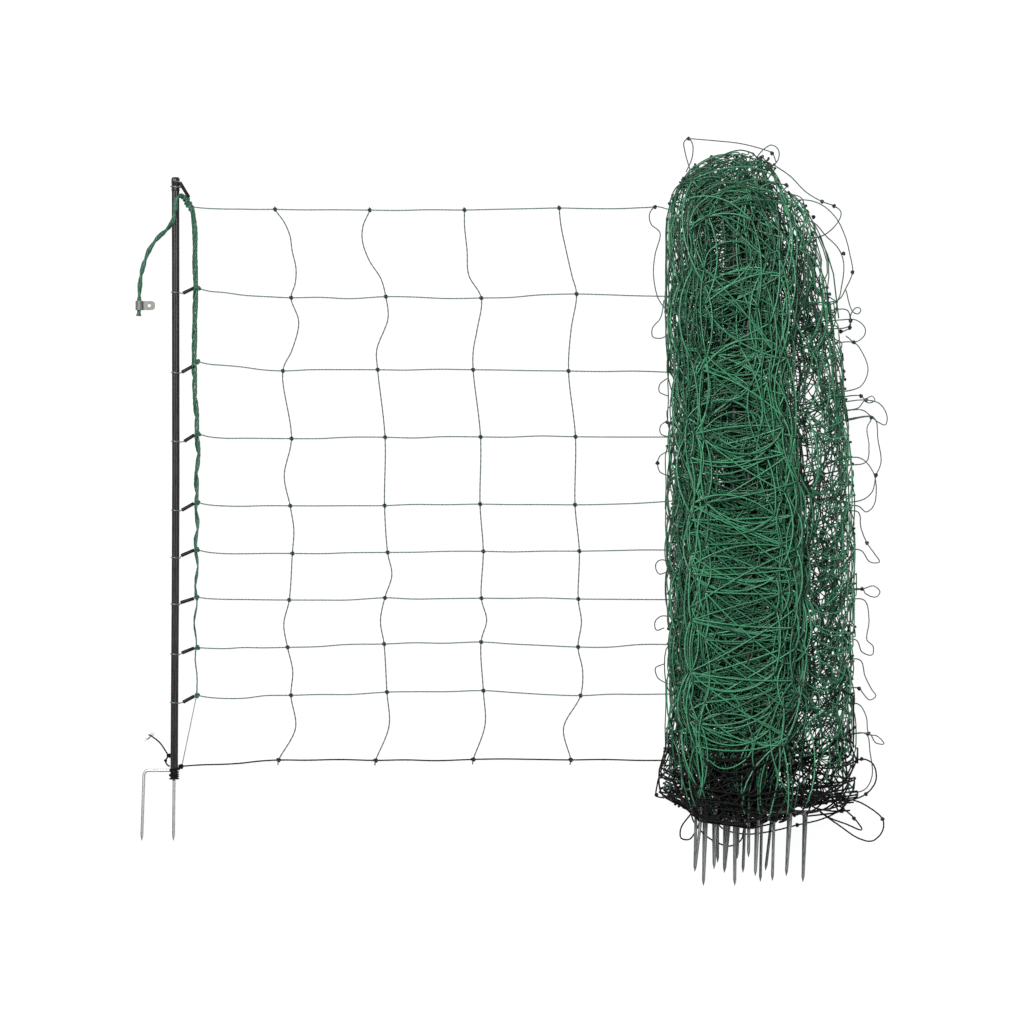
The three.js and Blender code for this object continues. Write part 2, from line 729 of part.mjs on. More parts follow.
// The end post with its spike, cap, edge cord, lead, lug and loose ground line end.
const rod = postRod();
const spike = doubleSpike(0, 8);
const bundledSpike = doubleSpike(0, 6);
const endPlace = postAt(0, 0, POST_Z, -1);
place("end_post", geometryOf(rod).applyMatrix4(endPlace), postBlack);
place("end_spike", geometryOf(spike).applyMatrix4(endPlace), steel);
place("end_post_cap", postCap(), postBlack);
place("edge_cord", geometryOf(edgeCordBody), green);
place("connecting_lead", strand(leadCurve, LEAD_CORNER, CORD_SIDES), green);
place("lead_lug", geometryOf(connectingLug()), steel);
const tailPoints = TAIL_ROUTE.map(([x, y, raised]) =>
  vector(x, y, TAIL_CORNER + (POST_Z - TAIL_CORNER) * raised),
);
tailPoints[0].x = -(GROUND_LOOP_REACH + CLEARANCE);
const tail = strand(smooth(tailPoints, 22), TAIL_CORNER, CORD_SIDES);
place("ground_line_tail", tail, black);

// The bundle: its posts and spikes, and the folded net cut to fit round them.
const space = postSpace();
let bundle = bundleBody();
BUNDLED_POSTS.forEach((post, i) => {
  const z = FIRST_LEVEL_Z + post.level * LEVEL_GAP;
  const matrix = postAt(BUNDLE_X + post.across, post.foot, z, post.side);
  place(numbered("bundled_post", i), geometryOf(rod).applyMatrix4(matrix), postBlack);
  place(numbered("bundled_spike", i), geometryOf(bundledSpike).applyMatrix4(matrix), steel);
  bundle = bundle.subtract(moved(space, matrix));
});
for (let line = 0; line < LINE_COUNT; line++) {
  const end = drawnOut(lineRoute(line).slice(-2), CLEARANCE);
  const bore = boreRound(lineCorner(line), CORD_SIDES);
  bundle = bundle.subtract(solidOf(strand(end, bore, CORD_SIDES)));
}
const liveNet = bundle.intersect(halfSpace(GROUND_LINES_TOP + CLEARANCE, 1));
const groundLines = bundle.intersect(halfSpace(GROUND_LINES_TOP, -1));
place("bundled_net", geometryOf(largestBody(liveNet)), green);
place("bundled_ground_line", geometryOf(largestBody(groundLines)), black);

// The frame: the middle of the footprint, without the free cords, at floor level.
const FREE_CORDS = ["connecting_lead", "lead_lug", "ground_line_tail"];
const footprint = new THREE.Box3();
netting.updateMatrixWorld(true);
for (const mesh of netting.children) {
  if (!FREE_CORDS.includes(mesh.name)) footprint.expandByObject(mesh, true);
}
const middle = footprint.getCenter(new THREE.Vector3());
netting.position.set(-middle.x, -middle.y, -footprint.min.z);

export default netting;
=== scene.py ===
"""Electric sheep netting, lying flat: its first cells drawn out, the rest folded into a bundle."""

import logging
import math
from dataclasses import dataclass, field
from enum import Enum

import bpy
import numpy as np
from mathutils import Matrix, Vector


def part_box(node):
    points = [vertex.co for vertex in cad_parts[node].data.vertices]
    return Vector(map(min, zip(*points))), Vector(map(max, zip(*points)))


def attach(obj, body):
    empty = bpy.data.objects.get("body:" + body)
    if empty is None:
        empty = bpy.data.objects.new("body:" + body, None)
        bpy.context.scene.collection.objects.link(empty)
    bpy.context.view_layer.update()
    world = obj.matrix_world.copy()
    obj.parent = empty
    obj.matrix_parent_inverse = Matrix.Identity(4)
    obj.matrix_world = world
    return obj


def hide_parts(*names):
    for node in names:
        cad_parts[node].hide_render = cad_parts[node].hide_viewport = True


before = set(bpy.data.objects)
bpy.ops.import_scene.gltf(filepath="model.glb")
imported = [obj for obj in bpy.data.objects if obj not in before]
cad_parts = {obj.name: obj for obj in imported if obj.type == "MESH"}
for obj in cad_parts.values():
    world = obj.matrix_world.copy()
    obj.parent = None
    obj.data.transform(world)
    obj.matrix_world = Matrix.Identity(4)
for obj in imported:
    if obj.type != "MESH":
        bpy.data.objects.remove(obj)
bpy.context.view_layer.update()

BODY = "root"
LOG = logging.getLogger("sheep_netting")
Array = np.ndarray
Colour = tuple[float, float, float]
Route = tuple[tuple[float, float], ...]
MM = 0.001
TURN = 2 * math.pi


class Slot(Enum):
    """The record's material slots."""

    TWINE = "green_twine"
    BLACK = "black_plastic"
    POST = "post_plastic"
    STEEL = "galvanised_steel"


class Strand(Enum):
    """The kinds of strand in the net."""

    LIVE = "live"
    STAY = "stay"
    GROUND = "ground"


@dataclass(frozen=True)
class PhotoPlane:
    """Turns places in the photograph, in pixels, into places on the lying net, in metres."""

    foot_x: float
    foot_y: float
    foot_px: tuple[float, float] = (175.8, 779.0)
    centre_px: tuple[float, float] = (512.0, 512.0)
    metres_per_px: float = 0.001579
    camera_height: float = 11.2
    width_px: float = 1024.0
    sensor_mm: float = 36.0

    @property
    def centre(self) -> tuple[float, float]:
        """The point of the floor that the camera looks at."""
        across = (self.centre_px[0] - self.foot_px[0]) * self.metres_per_px
        along = (self.foot_px[1] - self.centre_px[1]) * self.metres_per_px
        return self.foot_x + across, self.foot_y + along

    @property
    def lens_mm(self) -> float:
        """The lens that fits the photograph's width."""
        return self.sensor_mm * self.camera_height / (self.width_px * self.metres_per_px)

    def places(self, spots: Array, heights: Array | float) -> Array:
        """Finds the points that the camera sees at some pixels.

        Args:
            spots: Pixels, as an array whose last axis is x and y.
            heights: How high each point lies above the floor.

        Returns:
            The points in the row frame.
        """
        spots = np.asarray(spots, float)
        heights = np.broadcast_to(np.asarray(heights, float), spots.shape[:-1])
        nearer = (self.camera_height - heights) / self.camera_height
        middle = self.centre
        across = (spots[..., 0] - self.centre_px[0]) * self.metres_per_px * nearer
        along = (self.centre_px[1] - spots[..., 1]) * self.metres_per_px * nearer
        return np.stack([middle[0] + across, middle[1] + along, heights], axis=-1)

    def pixels(self, points: Array) -> Array:
        """Finds the pixels at which the camera sees some points.

        Args:
            points: The points in the row frame.

        Returns:
            Their pixels, as an array whose last axis is x and y.
        """
        nearer = (self.camera_height - points[..., 2]) / self.camera_height * self.metres_per_px
        middle = self.centre
        across = self.centre_px[0] + (points[..., 0] - middle[0]) / nearer
        down = self.centre_px[1] - (points[..., 1] - middle[1]) / nearer
        return np.stack([across, down], axis=-1)


def post_plane() -> PhotoPlane:
    """Lays the photograph's plane on the end post of the CAD model."""
    low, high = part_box("end_post")
    return PhotoPlane(foot_x=(low.x + high.x) / 2, foot_y=low.y)


PLANE = post_plane()


def smoothed(points: Array, step: float, closed: bool = False) -> Array:
    """Draws a smooth curve through points and spaces new points evenly on it.

    Args:
        points: The points that the curve passes through.
        step: The distance between the new points, in metres.
        closed: Whether the curve runs back to its first point.

    Returns:
        The new points.
    """
    points = np.asarray(points, float)
    if closed:
        ends = [points[-1], points[0], points[1]]
        line = np.vstack([ends[0], points, ends[1], ends[2]])
    else:
        line = np.vstack([2 * points[0] - points[1], points, 2 * points[-1] - points[-2]])
    pieces = []
    share = np.linspace(0, 1, 12, endpoint=False)[:, None]
    for a, b, c, d in zip(line, line[1:], line[2:], line[3:]):
        knots = np.cumsum([0.0] + [max(np.linalg.norm(q - p), 1e-6) ** 0.5 for p, q in ((a, b), (b, c), (c, d))])
        t = knots[1] + share * (knots[2] - knots[1])
        ab = ((knots[1] - t) * a + (t - knots[0]) * b) / (knots[1] - knots[0])
        bc = ((knots[2] - t) * b + (t - knots[1]) * c) / (knots[2] - knots[1])
        cd = ((knots[3] - t) * c + (t - knots[2]) * d) / (knots[3] - knots[2])
        abc = ((knots[2] - t) * ab + (t - knots[0]) * bc) / (knots[2] - knots[0])
        bcd = ((knots[3] - t) * bc + (t - knots[1]) * cd) / (knots[3] - knots[1])
        pieces.append(((knots[2] - t) * abc + (t - knots[1]) * bcd) / (knots[2] - knots[1]))
    pieces.append(line[-2:-1])
    dense = np.vstack(pieces)
    along = np.concatenate([[0], np.cumsum(np.linalg.norm(np.diff(dense, axis=0), axis=1))])
    count = max(2, round(along[-1] / step) + 1)
    at = np.linspace(0, along[-1], count)
    even = np.stack([np.interp(at, along, dense[:, k]) for k in range(3)], axis=1)
    return even[:-1] if closed else even


def length_of(points: Array) -> float:
    """The length of a line of points."""
    return float(np.linalg.norm(np.diff(points, axis=0), axis=1).sum())


class MeshDraft:
    """Gathers points and faces, and makes one mesh object of them."""

    def __init__(self) -> None:
        """Starts with nothing."""
        self.points: list[Array] = []
        self.faces: list[Array] = []
        self.corners: list[Array] = []
        self.tones: list[Array] = []
        self.count = 0

    def add(self, points: Array, faces: list[Array], corners: list[Array], tones: Array) -> None:
        """Adds points and faces.

        Args:
            points: The new points.
            faces: Arrays of faces with the same number of corners, counted from the new points.
            corners: For each array of faces, the strand coordinates of its corners.
            tones: One shade from 0 to 1 for each new point.
        """
        self.points.append(points.reshape(-1, 3))
        self.tones.append(tones.reshape(-1))
        for face, corner in zip(faces, corners):
            self.faces.append(face + self.count)
            self.corners.append(corner)
        self.count += len(self.points[-1])

    def tubes(
        self,
        paths: Array,
        radius: Array | float,
        sides: int,
        tones: Array | float = 0.5,
        lobes: int = 0,
        depth: float = 0.0,
        pitch: float = 0.0,
        closed: bool = False,
    ) -> None:
        """Adds round or twisted tubes along paths of equally many points.

        Args:
            paths: The paths, as an array of path, point and coordinate.
            radius: The tubes' radius, at each point if it changes.
            sides: The number of sides.
            tones: One shade for each path.
            lobes: The number of lobes of the section, 0 for a round one.
            depth: How deep the grooves between lobes are, as a share of the radius.
            pitch: The length in which the section turns once, 0 for none.
            closed: Whether each path runs back to its start.
        """
        paths = np.asarray(paths, float)
        if paths.ndim == 2:
            paths = paths[None]
        number, steps, _ = paths.shape
        if closed:
            along = np.roll(paths, -1, axis=1) - np.roll(paths, 1, axis=1)
        else:
            along = np.gradient(paths, axis=1)
        along /= np.maximum(np.linalg.norm(along, axis=-1, keepdims=True), 1e-12)
        spare = np.where(np.abs(along[:, :1, 2:]) < 0.8, [[[0.0, 0.0, 1.0]]], [[[1.0, 0.0, 0.0]]])
        side = np.zeros_like(paths)
        side[:, 0] = (spare - along[:, :1] * (spare * along[:, :1]).sum(-1, keepdims=True))[:, 0]
        side[:, 0] /= np.linalg.norm(side[:, 0], axis=-1, keepdims=True)
        for i in range(1, steps):
            kept = side[:, i - 1] - along[:, i] * (side[:, i - 1] * along[:, i]).sum(-1, keepdims=True)
            side[:, i] = kept / np.maximum(np.linalg.norm(kept, axis=-1, keepdims=True), 1e-12)
        other = np.cross(along, side)
        spans = np.linalg.norm(np.diff(paths, axis=1), axis=-1)
        travelled = np.concatenate([np.zeros((number, 1)), np.cumsum(spans, axis=1)], axis=1)
        angle = np.arange(sides) / sides * TURN
        turned = np.zeros((number, steps, 1)) + angle
        if pitch:
            turned = turned + travelled[..., None] / pitch * TURN
        if closed:
            first = (side[:, 0] * side[:, -1]).sum(-1)
            second = (side[:, 0] * other[:, -1]).sum(-1)
            slip = np.arctan2(second, first)
            turned = turned + (np.arange(steps) / steps * slip[:, None])[..., None]
        reach = np.broadcast_to(np.asarray(radius, float), (number, steps))[..., None]
        reach = reach * (1 + depth * np.cos(lobes * angle))
        rings = (
            paths[:, :, None]
            + (reach * np.cos(turned))[..., None] * side[:, :, None]
            + (reach * np.sin(turned))[..., None] * other[:, :, None]
        )
        index = np.arange(number * steps * sides).reshape(number, steps, sides)
        ahead = np.roll(index, -1, axis=1) if closed else index[:, 1:]
        here = index if closed else index[:, :-1]
        quads = np.stack(
            [here, np.roll(here, -1, axis=2), np.roll(ahead, -1, axis=2), ahead], axis=-1
        ).reshape(-1, 4)
        around = np.arange(sides) / sides
        next_around = around + 1 / sides
        back = travelled if closed else travelled[:, :-1]
        front = np.roll(travelled, -1, axis=1) if closed else travelled[:, 1:]
        if closed:
            front[:, -1] = travelled[:, -1] + travelled[:, 1]
        shape = here.shape
        u = [np.broadcast_to(a, shape) for a in (around, next_around, next_around, around)]
        v = [np.broadcast_to(a[..., None], shape) for a in (back, back, front, front)]
        corner = np.stack([np.stack(u, -1), np.stack(v, -1)], axis=-1).reshape(-1, 4, 2)
        faces = [quads]
        corners = [corner]
        if not closed:
            caps = np.concatenate([index[:, 0, ::-1], index[:, -1]])
            faces.append(caps)
            corners.append(np.zeros((*caps.shape, 2)))
        shades = np.broadcast_to(np.asarray(tones, float).reshape(-1, 1, 1), (number, 1, 1))
        self.add(rings, faces, corners, np.broadcast_to(shades, (number, steps, sides)).copy())

    def lathe(self, start: Array, end: Array, profile: Array, sides: int, tone: float = 0.5) -> None:
        """Adds a turned solid between two points.

        Args:
            start: Where the axis starts.
            end: Where the axis ends.
            profile: Rows of the share of the axis and the radius in metres.
            sides: The number of sides.
            tone: The solid's shade.
        """
        start = np.asarray(start, float)
        profile = np.asarray(profile, float)
        path = start + profile[:, :1] * (np.asarray(end, float) - start)
        axis = (np.asarray(end, float) - start) / np.linalg.norm(np.asarray(end, float) - start)
        spare = np.array([0.0, 0.0, 1.0]) if abs(axis[2]) < 0.8 else np.array([1.0, 0.0, 0.0])
        side = np.cross(axis, spare)
        side /= np.linalg.norm(side)
        other = np.cross(axis, side)
        angle = np.arange(sides) / sides * TURN
        spoke = np.cos(angle)[:, None] * side + np.sin(angle)[:, None] * other
        rings = path[:, None] + profile[:, 1][:, None, None] * spoke
        index = np.arange(len(profile) * sides).reshape(len(profile), sides)
        quads = np.stack(
            [index[:-1], np.roll(index[:-1], -1, 1), np.roll(index[1:], -1, 1), index[1:]], axis=-1
        ).reshape(-1, 4)
        caps = np.stack([index[0, ::-1], index[-1]])
        flat = [np.zeros((*quads.shape, 2)), np.zeros((*caps.shape, 2))]
        self.add(rings, [quads, caps], flat, np.full(rings.shape[:2], tone))

    def blobs(self, centres: Array, sizes: Array, turns: Array, tones: Array) -> None:
        """Adds small lumpy knots.

        Args:
            centres: The knots' middles.
            sizes: Half of each knot's length, width and height.
            turns: How far each knot is turned about the vertical.
            tones: One shade for each knot.
        """
        rows, sides = 4, 6
        tilt = np.linspace(-math.pi / 2, math.pi / 2, rows + 2)[1:-1]
        angle = np.arange(sides) / sides * TURN
        wave = 1 + 0.14 * np.cos(2 * angle[None] + 3 * tilt[:, None])
        x = np.cos(tilt)[:, None] * np.cos(angle) * wave
        y = np.cos(tilt)[:, None] * np.sin(angle) * wave
        z = np.broadcast_to(np.sin(tilt)[:, None], x.shape)
        local = np.stack([x, y, z], axis=-1)[None] * sizes[:, None, None]
        cosine, sine = np.cos(turns)[:, None, None], np.sin(turns)[:, None, None]
        points = np.stack(
            [
                local[..., 0] * cosine - local[..., 1] * sine,
                local[..., 0] * sine + local[..., 1] * cosine,
                local[..., 2],
            ],
            axis=-1,
        ) + centres[:, None, None]
        number = len(centres)
        index = np.arange(number * rows * sides).reshape(number, rows, sides)
        low, high = index[:, :-1], index[:, 1:]
        quads = np.stack([low, np.roll(low, -1, 2), np.roll(high, -1, 2), high], -1).reshape(-1, 4)
        caps = np.concatenate([index[:, 0, ::-1], index[:, -1]])
        flat = [np.zeros((*quads.shape, 2)), np.zeros((*caps.shape, 2))]
        shades = np.broadcast_to(tones[:, None, None], index.shape)
        self.add(points, [quads, caps], flat, shades.copy())

    def knot(self, centre: Array, size: Array, radius: float, turn: float, tone: float) -> None:
        """Adds one tied knot, a cord wound into itself.

        Args:
            centre: The knot's middle.
            size: Half of its length, width and height, without the cord's own radius.
            radius: The cord's radius.
            turn: How far the knot is turned about the vertical.
            tone: The knot's shade.
        """
        t = np.linspace(0, TURN, 40, endpoint=False)
        local = np.stack(
            [
                (0.62 + 0.38 * np.cos(3 * t)) * np.cos(2 * t) * size[0],
                (0.62 + 0.38 * np.cos(3 * t)) * np.sin(2 * t) * size[1],
                np.sin(3 * t) * size[2],
            ],
            axis=1,
        )
        cosine, sine = math.cos(turn), math.sin(turn)
        spin = np.array([[cosine, -sine, 0], [sine, cosine, 0], [0, 0, 1]])
        self.tubes(local @ spin.T + np.asarray(centre), radius, 7, tone, closed=True)

    def build(self, name: str, smooth: bool = True) -> bpy.types.Object:
        """Makes the mesh object and links it into the scene.

        Args:
            name: The object's name.
            smooth: Whether its faces are shaded smooth.

        Returns:
            The new object.
        """
        mesh = bpy.data.meshes.new(name)
        points = np.concatenate(self.points)
        sizes = np.concatenate([np.full(len(f), f.shape[1]) for f in self.faces])
        starts = np.concatenate([[0], np.cumsum(sizes)[:-1]])
        mesh.vertices.add(len(points))
        mesh.loops.add(int(sizes.sum()))
        mesh.polygons.add(len(sizes))
        mesh.vertices.foreach_set("co", points.astype(np.float32).ravel())
        loops = np.concatenate([f.ravel() for f in self.faces])
        mesh.loops.foreach_set("vertex_index", loops.astype(np.int32))
        mesh.polygons.foreach_set("loop_start", starts.astype(np.int32))
        mesh.update(calc_edges=True)
        mesh.polygons.foreach_set("use_smooth", np.full(len(sizes), smooth))
        layer = mesh.uv_layers.new(name="strand")
        corners = np.concatenate([c.reshape(-1, 2) for c in self.corners])
        layer.uv.foreach_set("vector", corners.astype(np.float32).ravel())
        tone = mesh.attributes.new("tone", "FLOAT", "POINT")
        tone.data.foreach_set("value", np.concatenate(self.tones).astype(np.float32))
        mesh.update()
        made = bpy.data.objects.new(name, mesh)
        bpy.context.scene.collection.objects.link(made)
        return made


class NodeSheet:
    """A short way to place and link nodes in a tree."""

    def __init__(self, tree: bpy.types.NodeTree) -> None:
        """Keeps the tree."""
        self.tree = tree

    def node(self, kind: str, **values: object) -> bpy.types.Node:
        """Places a node.

        Args:
            kind: The node's type.
            values: Properties by name, and inputs by name with spaces as underscores.

        Returns:
            The new node.
        """
        made = self.tree.nodes.new(kind)
        for key, value in values.items():
            if hasattr(made, key):
                setattr(made, key, value)
            else:
                made.inputs[key.replace("_", " ")].default_value = value
        return made

    def link(self, start: bpy.types.NodeSocket, end: bpy.types.NodeSocket) -> None:
        """Links an output to an input."""
        self.tree.links.new(start, end)

    def math(self, operation: str, *terms: bpy.types.NodeSocket | float) -> bpy.types.NodeSocket:
        """Places a math node.

        Args:
            operation: The operation's name.
            terms: Sockets or numbers.

        Returns:
            Its output.
        """
        made = self.tree.nodes.new("ShaderNodeMath")
        made.operation = operation
        for i, term in enumerate(terms):
            if isinstance(term, (int, float)):
                made.inputs[i].default_value = term
            else:
                self.link(term, made.inputs[i])
        return made.outputs[0]

    def mix(self, share: bpy.types.NodeSocket | float, first: object, second: object) -> bpy.types.NodeSocket:
        """Mixes two colours.

        Args:
            share: The second colour's share.
            first: A colour or a socket.
            second: A colour or a socket.

        Returns:
            The mixed colour.
        """
        made = self.tree.nodes.new("ShaderNodeMix")
        made.data_type = "RGBA"
        for socket, value in zip((made.inputs[0], made.inputs[6], made.inputs[7]), (share, first, second)):
            if isinstance(value, bpy.types.NodeSocket):
                self.link(value, socket)
            elif isinstance(value, (int, float)):
                socket.default_value = value
            else:
                socket.default_value = (*value, 1.0)
        return made.outputs[2]


def new_group(name: str, inputs: dict[str, float], outputs: dict[str, str]) -> tuple[NodeSheet, object, object]:
    """Starts a shader node group.

    Args:
        name: The group's name.
        inputs: Its number inputs and their usual values.
        outputs: Its outputs and their socket types.

    Returns:
        A sheet for its nodes, its input node and its output node.
    """
    tree = bpy.data.node_groups.new(name, "ShaderNodeTree")
    for title, value in inputs.items():
        socket = tree.interface.new_socket(title, in_out="INPUT", socket_type="NodeSocketFloat")
        socket.default_value = value
    for title, kind in outputs.items():
        tree.interface.new_socket(title, in_out="OUTPUT", socket_type=kind)
    sheet = NodeSheet(tree)
    return sheet, sheet.node("NodeGroupInput"), sheet.node("NodeGroupOutput")


def twist_group() -> bpy.types.NodeTree:
    """Builds the effect of filaments twisted round a strand.

    Returns:
        A group with the height of the filaments and a mask of a single thread of them.
    """
    inputs = {"Filaments": 3.0, "Pitch": 0.012, "Thread": 0.7}
    outputs = {"Height": "NodeSocketFloat", "Thread": "NodeSocketFloat"}
    sheet, given, result = new_group("twisted_filaments", inputs, outputs)
    place = sheet.node("ShaderNodeUVMap", uv_map="strand")
    split = sheet.node("ShaderNodeSeparateXYZ")
    sheet.link(place.outputs[0], split.inputs[0])
    along = sheet.math("DIVIDE", split.outputs[1], given.outputs["Pitch"])
    phase = sheet.math("SUBTRACT", split.outputs[0], along)
    turns = sheet.math("MULTIPLY", phase, given.outputs["Filaments"])
    wave = sheet.math("ABSOLUTE", sheet.math("SINE", sheet.math("MULTIPLY", turns, math.pi)))
    sheet.link(wave, result.inputs["Height"])
    single = sheet.math("COSINE", sheet.math("MULTIPLY", phase, TURN))
    thread = sheet.node("ShaderNodeMapRange", interpolation_type="SMOOTHSTEP")
    sheet.link(single, thread.inputs["Value"])
    sheet.link(given.outputs["Thread"], thread.inputs["From Min"])
    thread.inputs["From Max"].default_value = 1.0
    sheet.link(thread.outputs[0], result.inputs["Thread"])
    return sheet.tree


def wear_group() -> bpy.types.NodeTree:
    """Builds the effect of dust and rubbing.

    Returns:
        A group with a broad mask, a fine mask and a height.
    """
    inputs = {"Scale": 40.0, "Stretch": 1.0, "Cover": 0.5}
    outputs = {"Broad": "NodeSocketFloat", "Fine": "NodeSocketFloat", "Height": "NodeSocketFloat"}
    sheet, given, result = new_group("surface_wear", inputs, outputs)
    place = sheet.node("ShaderNodeTexCoord")
    scale = sheet.node("ShaderNodeCombineXYZ")
    scale.inputs[0].default_value = 1.0
    scale.inputs[2].default_value = 1.0
    sheet.link(given.outputs["Stretch"], scale.inputs[1])
    stretched = sheet.node("ShaderNodeVectorMath", operation="MULTIPLY")
    sheet.link(place.outputs["Object"], stretched.inputs[0])
    sheet.link(scale.outputs[0], stretched.inputs[1])
    broad = sheet.node("ShaderNodeTexNoise", Detail=3.0, Roughness=0.6)
    fine = sheet.node("ShaderNodeTexNoise", Detail=5.0, Roughness=0.7)
    sheet.link(stretched.outputs[0], broad.inputs["Vector"])
    sheet.link(stretched.outputs[0], fine.inputs["Vector"])
    sheet.link(given.outputs["Scale"], broad.inputs["Scale"])
    sheet.link(sheet.math("MULTIPLY", given.outputs["Scale"], 9.0), fine.inputs["Scale"])
    for noise, title in ((broad, "Broad"), (fine, "Fine")):
        spread = sheet.node("ShaderNodeMapRange", interpolation_type="SMOOTHSTEP")
        sheet.link(noise.outputs[0], spread.inputs["Value"])
        sheet.link(sheet.math("SUBTRACT", 0.85, given.outputs["Cover"]), spread.inputs["From Min"])
        sheet.link(sheet.math("SUBTRACT", 1.15, given.outputs["Cover"]), spread.inputs["From Max"])
        sheet.link(spread.outputs[0], result.inputs[title])
    sheet.link(fine.outputs[0], result.inputs["Height"])
    return sheet.tree


@dataclass(frozen=True)
class EffectGroups:
    """The node groups that the finishes share."""

    twist: bpy.types.NodeTree = field(default_factory=twist_group)
    wear: bpy.types.NodeTree = field(default_factory=wear_group)


@dataclass(frozen=True)
class Finish:
    """A finish with two wear colours, a roughness range and a fine relief; its pale colour is also the painted light
    that the tone attribute mixes in, and twisted finishes get painted shade in their grooves.
    """

    name: str
    colour: Colour
    worn: Colour
    pale: Colour
    roughness: tuple[float, float]
    scale: float = 40.0
    stretch: float = 1.0
    cover: float = 0.5
    relief: float = 0.0001
    metallic: float = 0.0
    specular: float = 0.5
    glow: float = 0.0
    filaments: float = 0.0
    pitch: float = 0.012
    thread: Colour | None = None
    tone: float = 0.0

    def material(self, effects: EffectGroups) -> bpy.types.Material:
        """Makes the finish's material.

        Args:
            effects: The shared node groups.

        Returns:
            The material.
        """
        made = bpy.data.materials.new(self.name)
        made.use_nodes = True
        sheet = NodeSheet(made.node_tree)
        shader = made.node_tree.nodes["Principled BSDF"]
        shader.inputs["Metallic"].default_value = self.metallic
        shader.inputs["Specular IOR Level"].default_value = self.specular
        shader.inputs["Emission Color"].default_value = (1.0, 1.0, 1.0, 1.0)
        shader.inputs["Emission Strength"].default_value = self.glow
        wear = sheet.node("ShaderNodeGroup", node_tree=effects.wear)
        wear.inputs["Scale"].default_value = self.scale
        wear.inputs["Stretch"].default_value = self.stretch
        wear.inputs["Cover"].default_value = self.cover
        colour = sheet.mix(wear.outputs["Broad"], self.colour, self.worn)
        dusty = sheet.math("MULTIPLY", wear.outputs["Fine"], 0.45)
        colour = sheet.mix(dusty, colour, self.pale)
        # The tone attribute mixes the colour towards the pale colour: in the folded bundle it carries painted light and
        # shade by depth, elsewhere a tone that differs from strand to strand.
        if self.tone:
            shade = sheet.node("ShaderNodeAttribute", attribute_name="tone")
            colour = sheet.mix(sheet.math("MULTIPLY", shade.outputs["Fac"], self.tone), colour, self.pale)
        rough = sheet.node("ShaderNodeMapRange")
        rough.inputs["To Min"].default_value = self.roughness[0]
        rough.inputs["To Max"].default_value = self.roughness[1]
        sheet.link(wear.outputs["Fine"], rough.inputs["Value"])
        sheet.link(rough.outputs[0], shader.inputs["Roughness"])
        height = wear.outputs["Height"]
        if self.filaments:
            twist = sheet.node("ShaderNodeGroup", node_tree=effects.twist)
            twist.inputs["Filaments"].default_value = self.filaments
            twist.inputs["Pitch"].default_value = self.pitch
            height = sheet.math("ADD", sheet.math("MULTIPLY", height, 0.4), twist.outputs["Height"])
            # Painted shade: the colour darkens towards 0.35 of itself in the grooves between the twisted filaments.
            painted_groove_shade = sheet.math("MULTIPLY", sheet.math("SUBTRACT", 1.0, twist.outputs["Height"]), 0.5)
            colour = sheet.mix(painted_groove_shade, colour, tuple(0.35 * c for c in self.colour))
            if self.thread:
                colour = sheet.mix(twist.outputs["Thread"], colour, self.thread)
        sheet.link(colour, shader.inputs["Base Color"])
        bump = sheet.node("ShaderNodeBump", Strength=0.7, Distance=self.relief)
        sheet.link(height, bump.inputs["Height"])
        sheet.link(bump.outputs[0], shader.inputs["Normal"])
        return made


LIVE_TWINE = Finish(
    "live_twine", (0.045, 0.09, 0.066), (0.06, 0.12, 0.088), (0.14, 0.22, 0.18), (0.25, 0.45),
    scale=70, relief=0.0003, filaments=3, thread=(0.22, 0.33, 0.27), tone=0.2,
)
CORD_TWINE = Finish(
    "cord_twine", (0.007, 0.05, 0.026), (0.014, 0.08, 0.044), (0.09, 0.26, 0.17), (0.25, 0.45),
    scale=110, relief=0.0003, specular=0.35, filaments=3, pitch=0.05, tone=0.4,
)
# Folded twine with painted light: its own colour is painted nearly black as shade for the deep strands of the bundle,
# and its pale colour is the painted highlight that the tone attribute lays on the upper strands.
FOLDED_TWINE_PAINTED_LIGHT = Finish(
    "folded_twine_painted_light", (0.0004, 0.011, 0.004), (0.0009, 0.018, 0.007), (0.08, 0.35, 0.18), (0.22, 0.42),
    scale=60, relief=0.0002, specular=0.3, filaments=2, pitch=0.02, tone=0.85,
)
DRAWN_STAY_TWINE = Finish(
    "drawn_stay_twine", (0.03, 0.062, 0.045), (0.05, 0.09, 0.068), (0.14, 0.2, 0.17), (0.35, 0.55),
    scale=60, relief=0.0002, filaments=2, pitch=0.02, tone=0.3,
)
BARE_TWINE = Finish(
    "bare_twine", (0.2, 0.22, 0.21), (0.26, 0.28, 0.27), (0.38, 0.4, 0.39), (0.35, 0.55),
    scale=60, relief=0.0002, filaments=2, pitch=0.02,
)
KNOT_TWINE = Finish(
    "knot_twine", (0.002, 0.005, 0.004), (0.004, 0.01, 0.008), (0.03, 0.045, 0.04), (0.4, 0.65),
    scale=150, relief=0.0002, tone=0.15,
)
GROUND_TWINE = Finish(
    "ground_twine", (0.0012, 0.0012, 0.0012), (0.002, 0.002, 0.002), (0.02, 0.02, 0.02), (0.35, 0.6),
    scale=60, relief=0.0003, filaments=3, tone=0.15, specular=0.12,
)
SLEEVE_PLASTIC = Finish(
    "sleeve_plastic", (0.0015, 0.0015, 0.0015), (0.003, 0.003, 0.003), (0.02, 0.02, 0.02), (0.35, 0.6),
    scale=90, relief=0.0001, specular=0.2,
)
POST_PLASTIC = Finish(
    "post_plastic", (0.004, 0.004, 0.0035), (0.011, 0.01, 0.008), (0.06, 0.056, 0.048), (0.35, 0.55),
    scale=120, stretch=0.03, cover=0.45, relief=0.0002, specular=0.3,
)
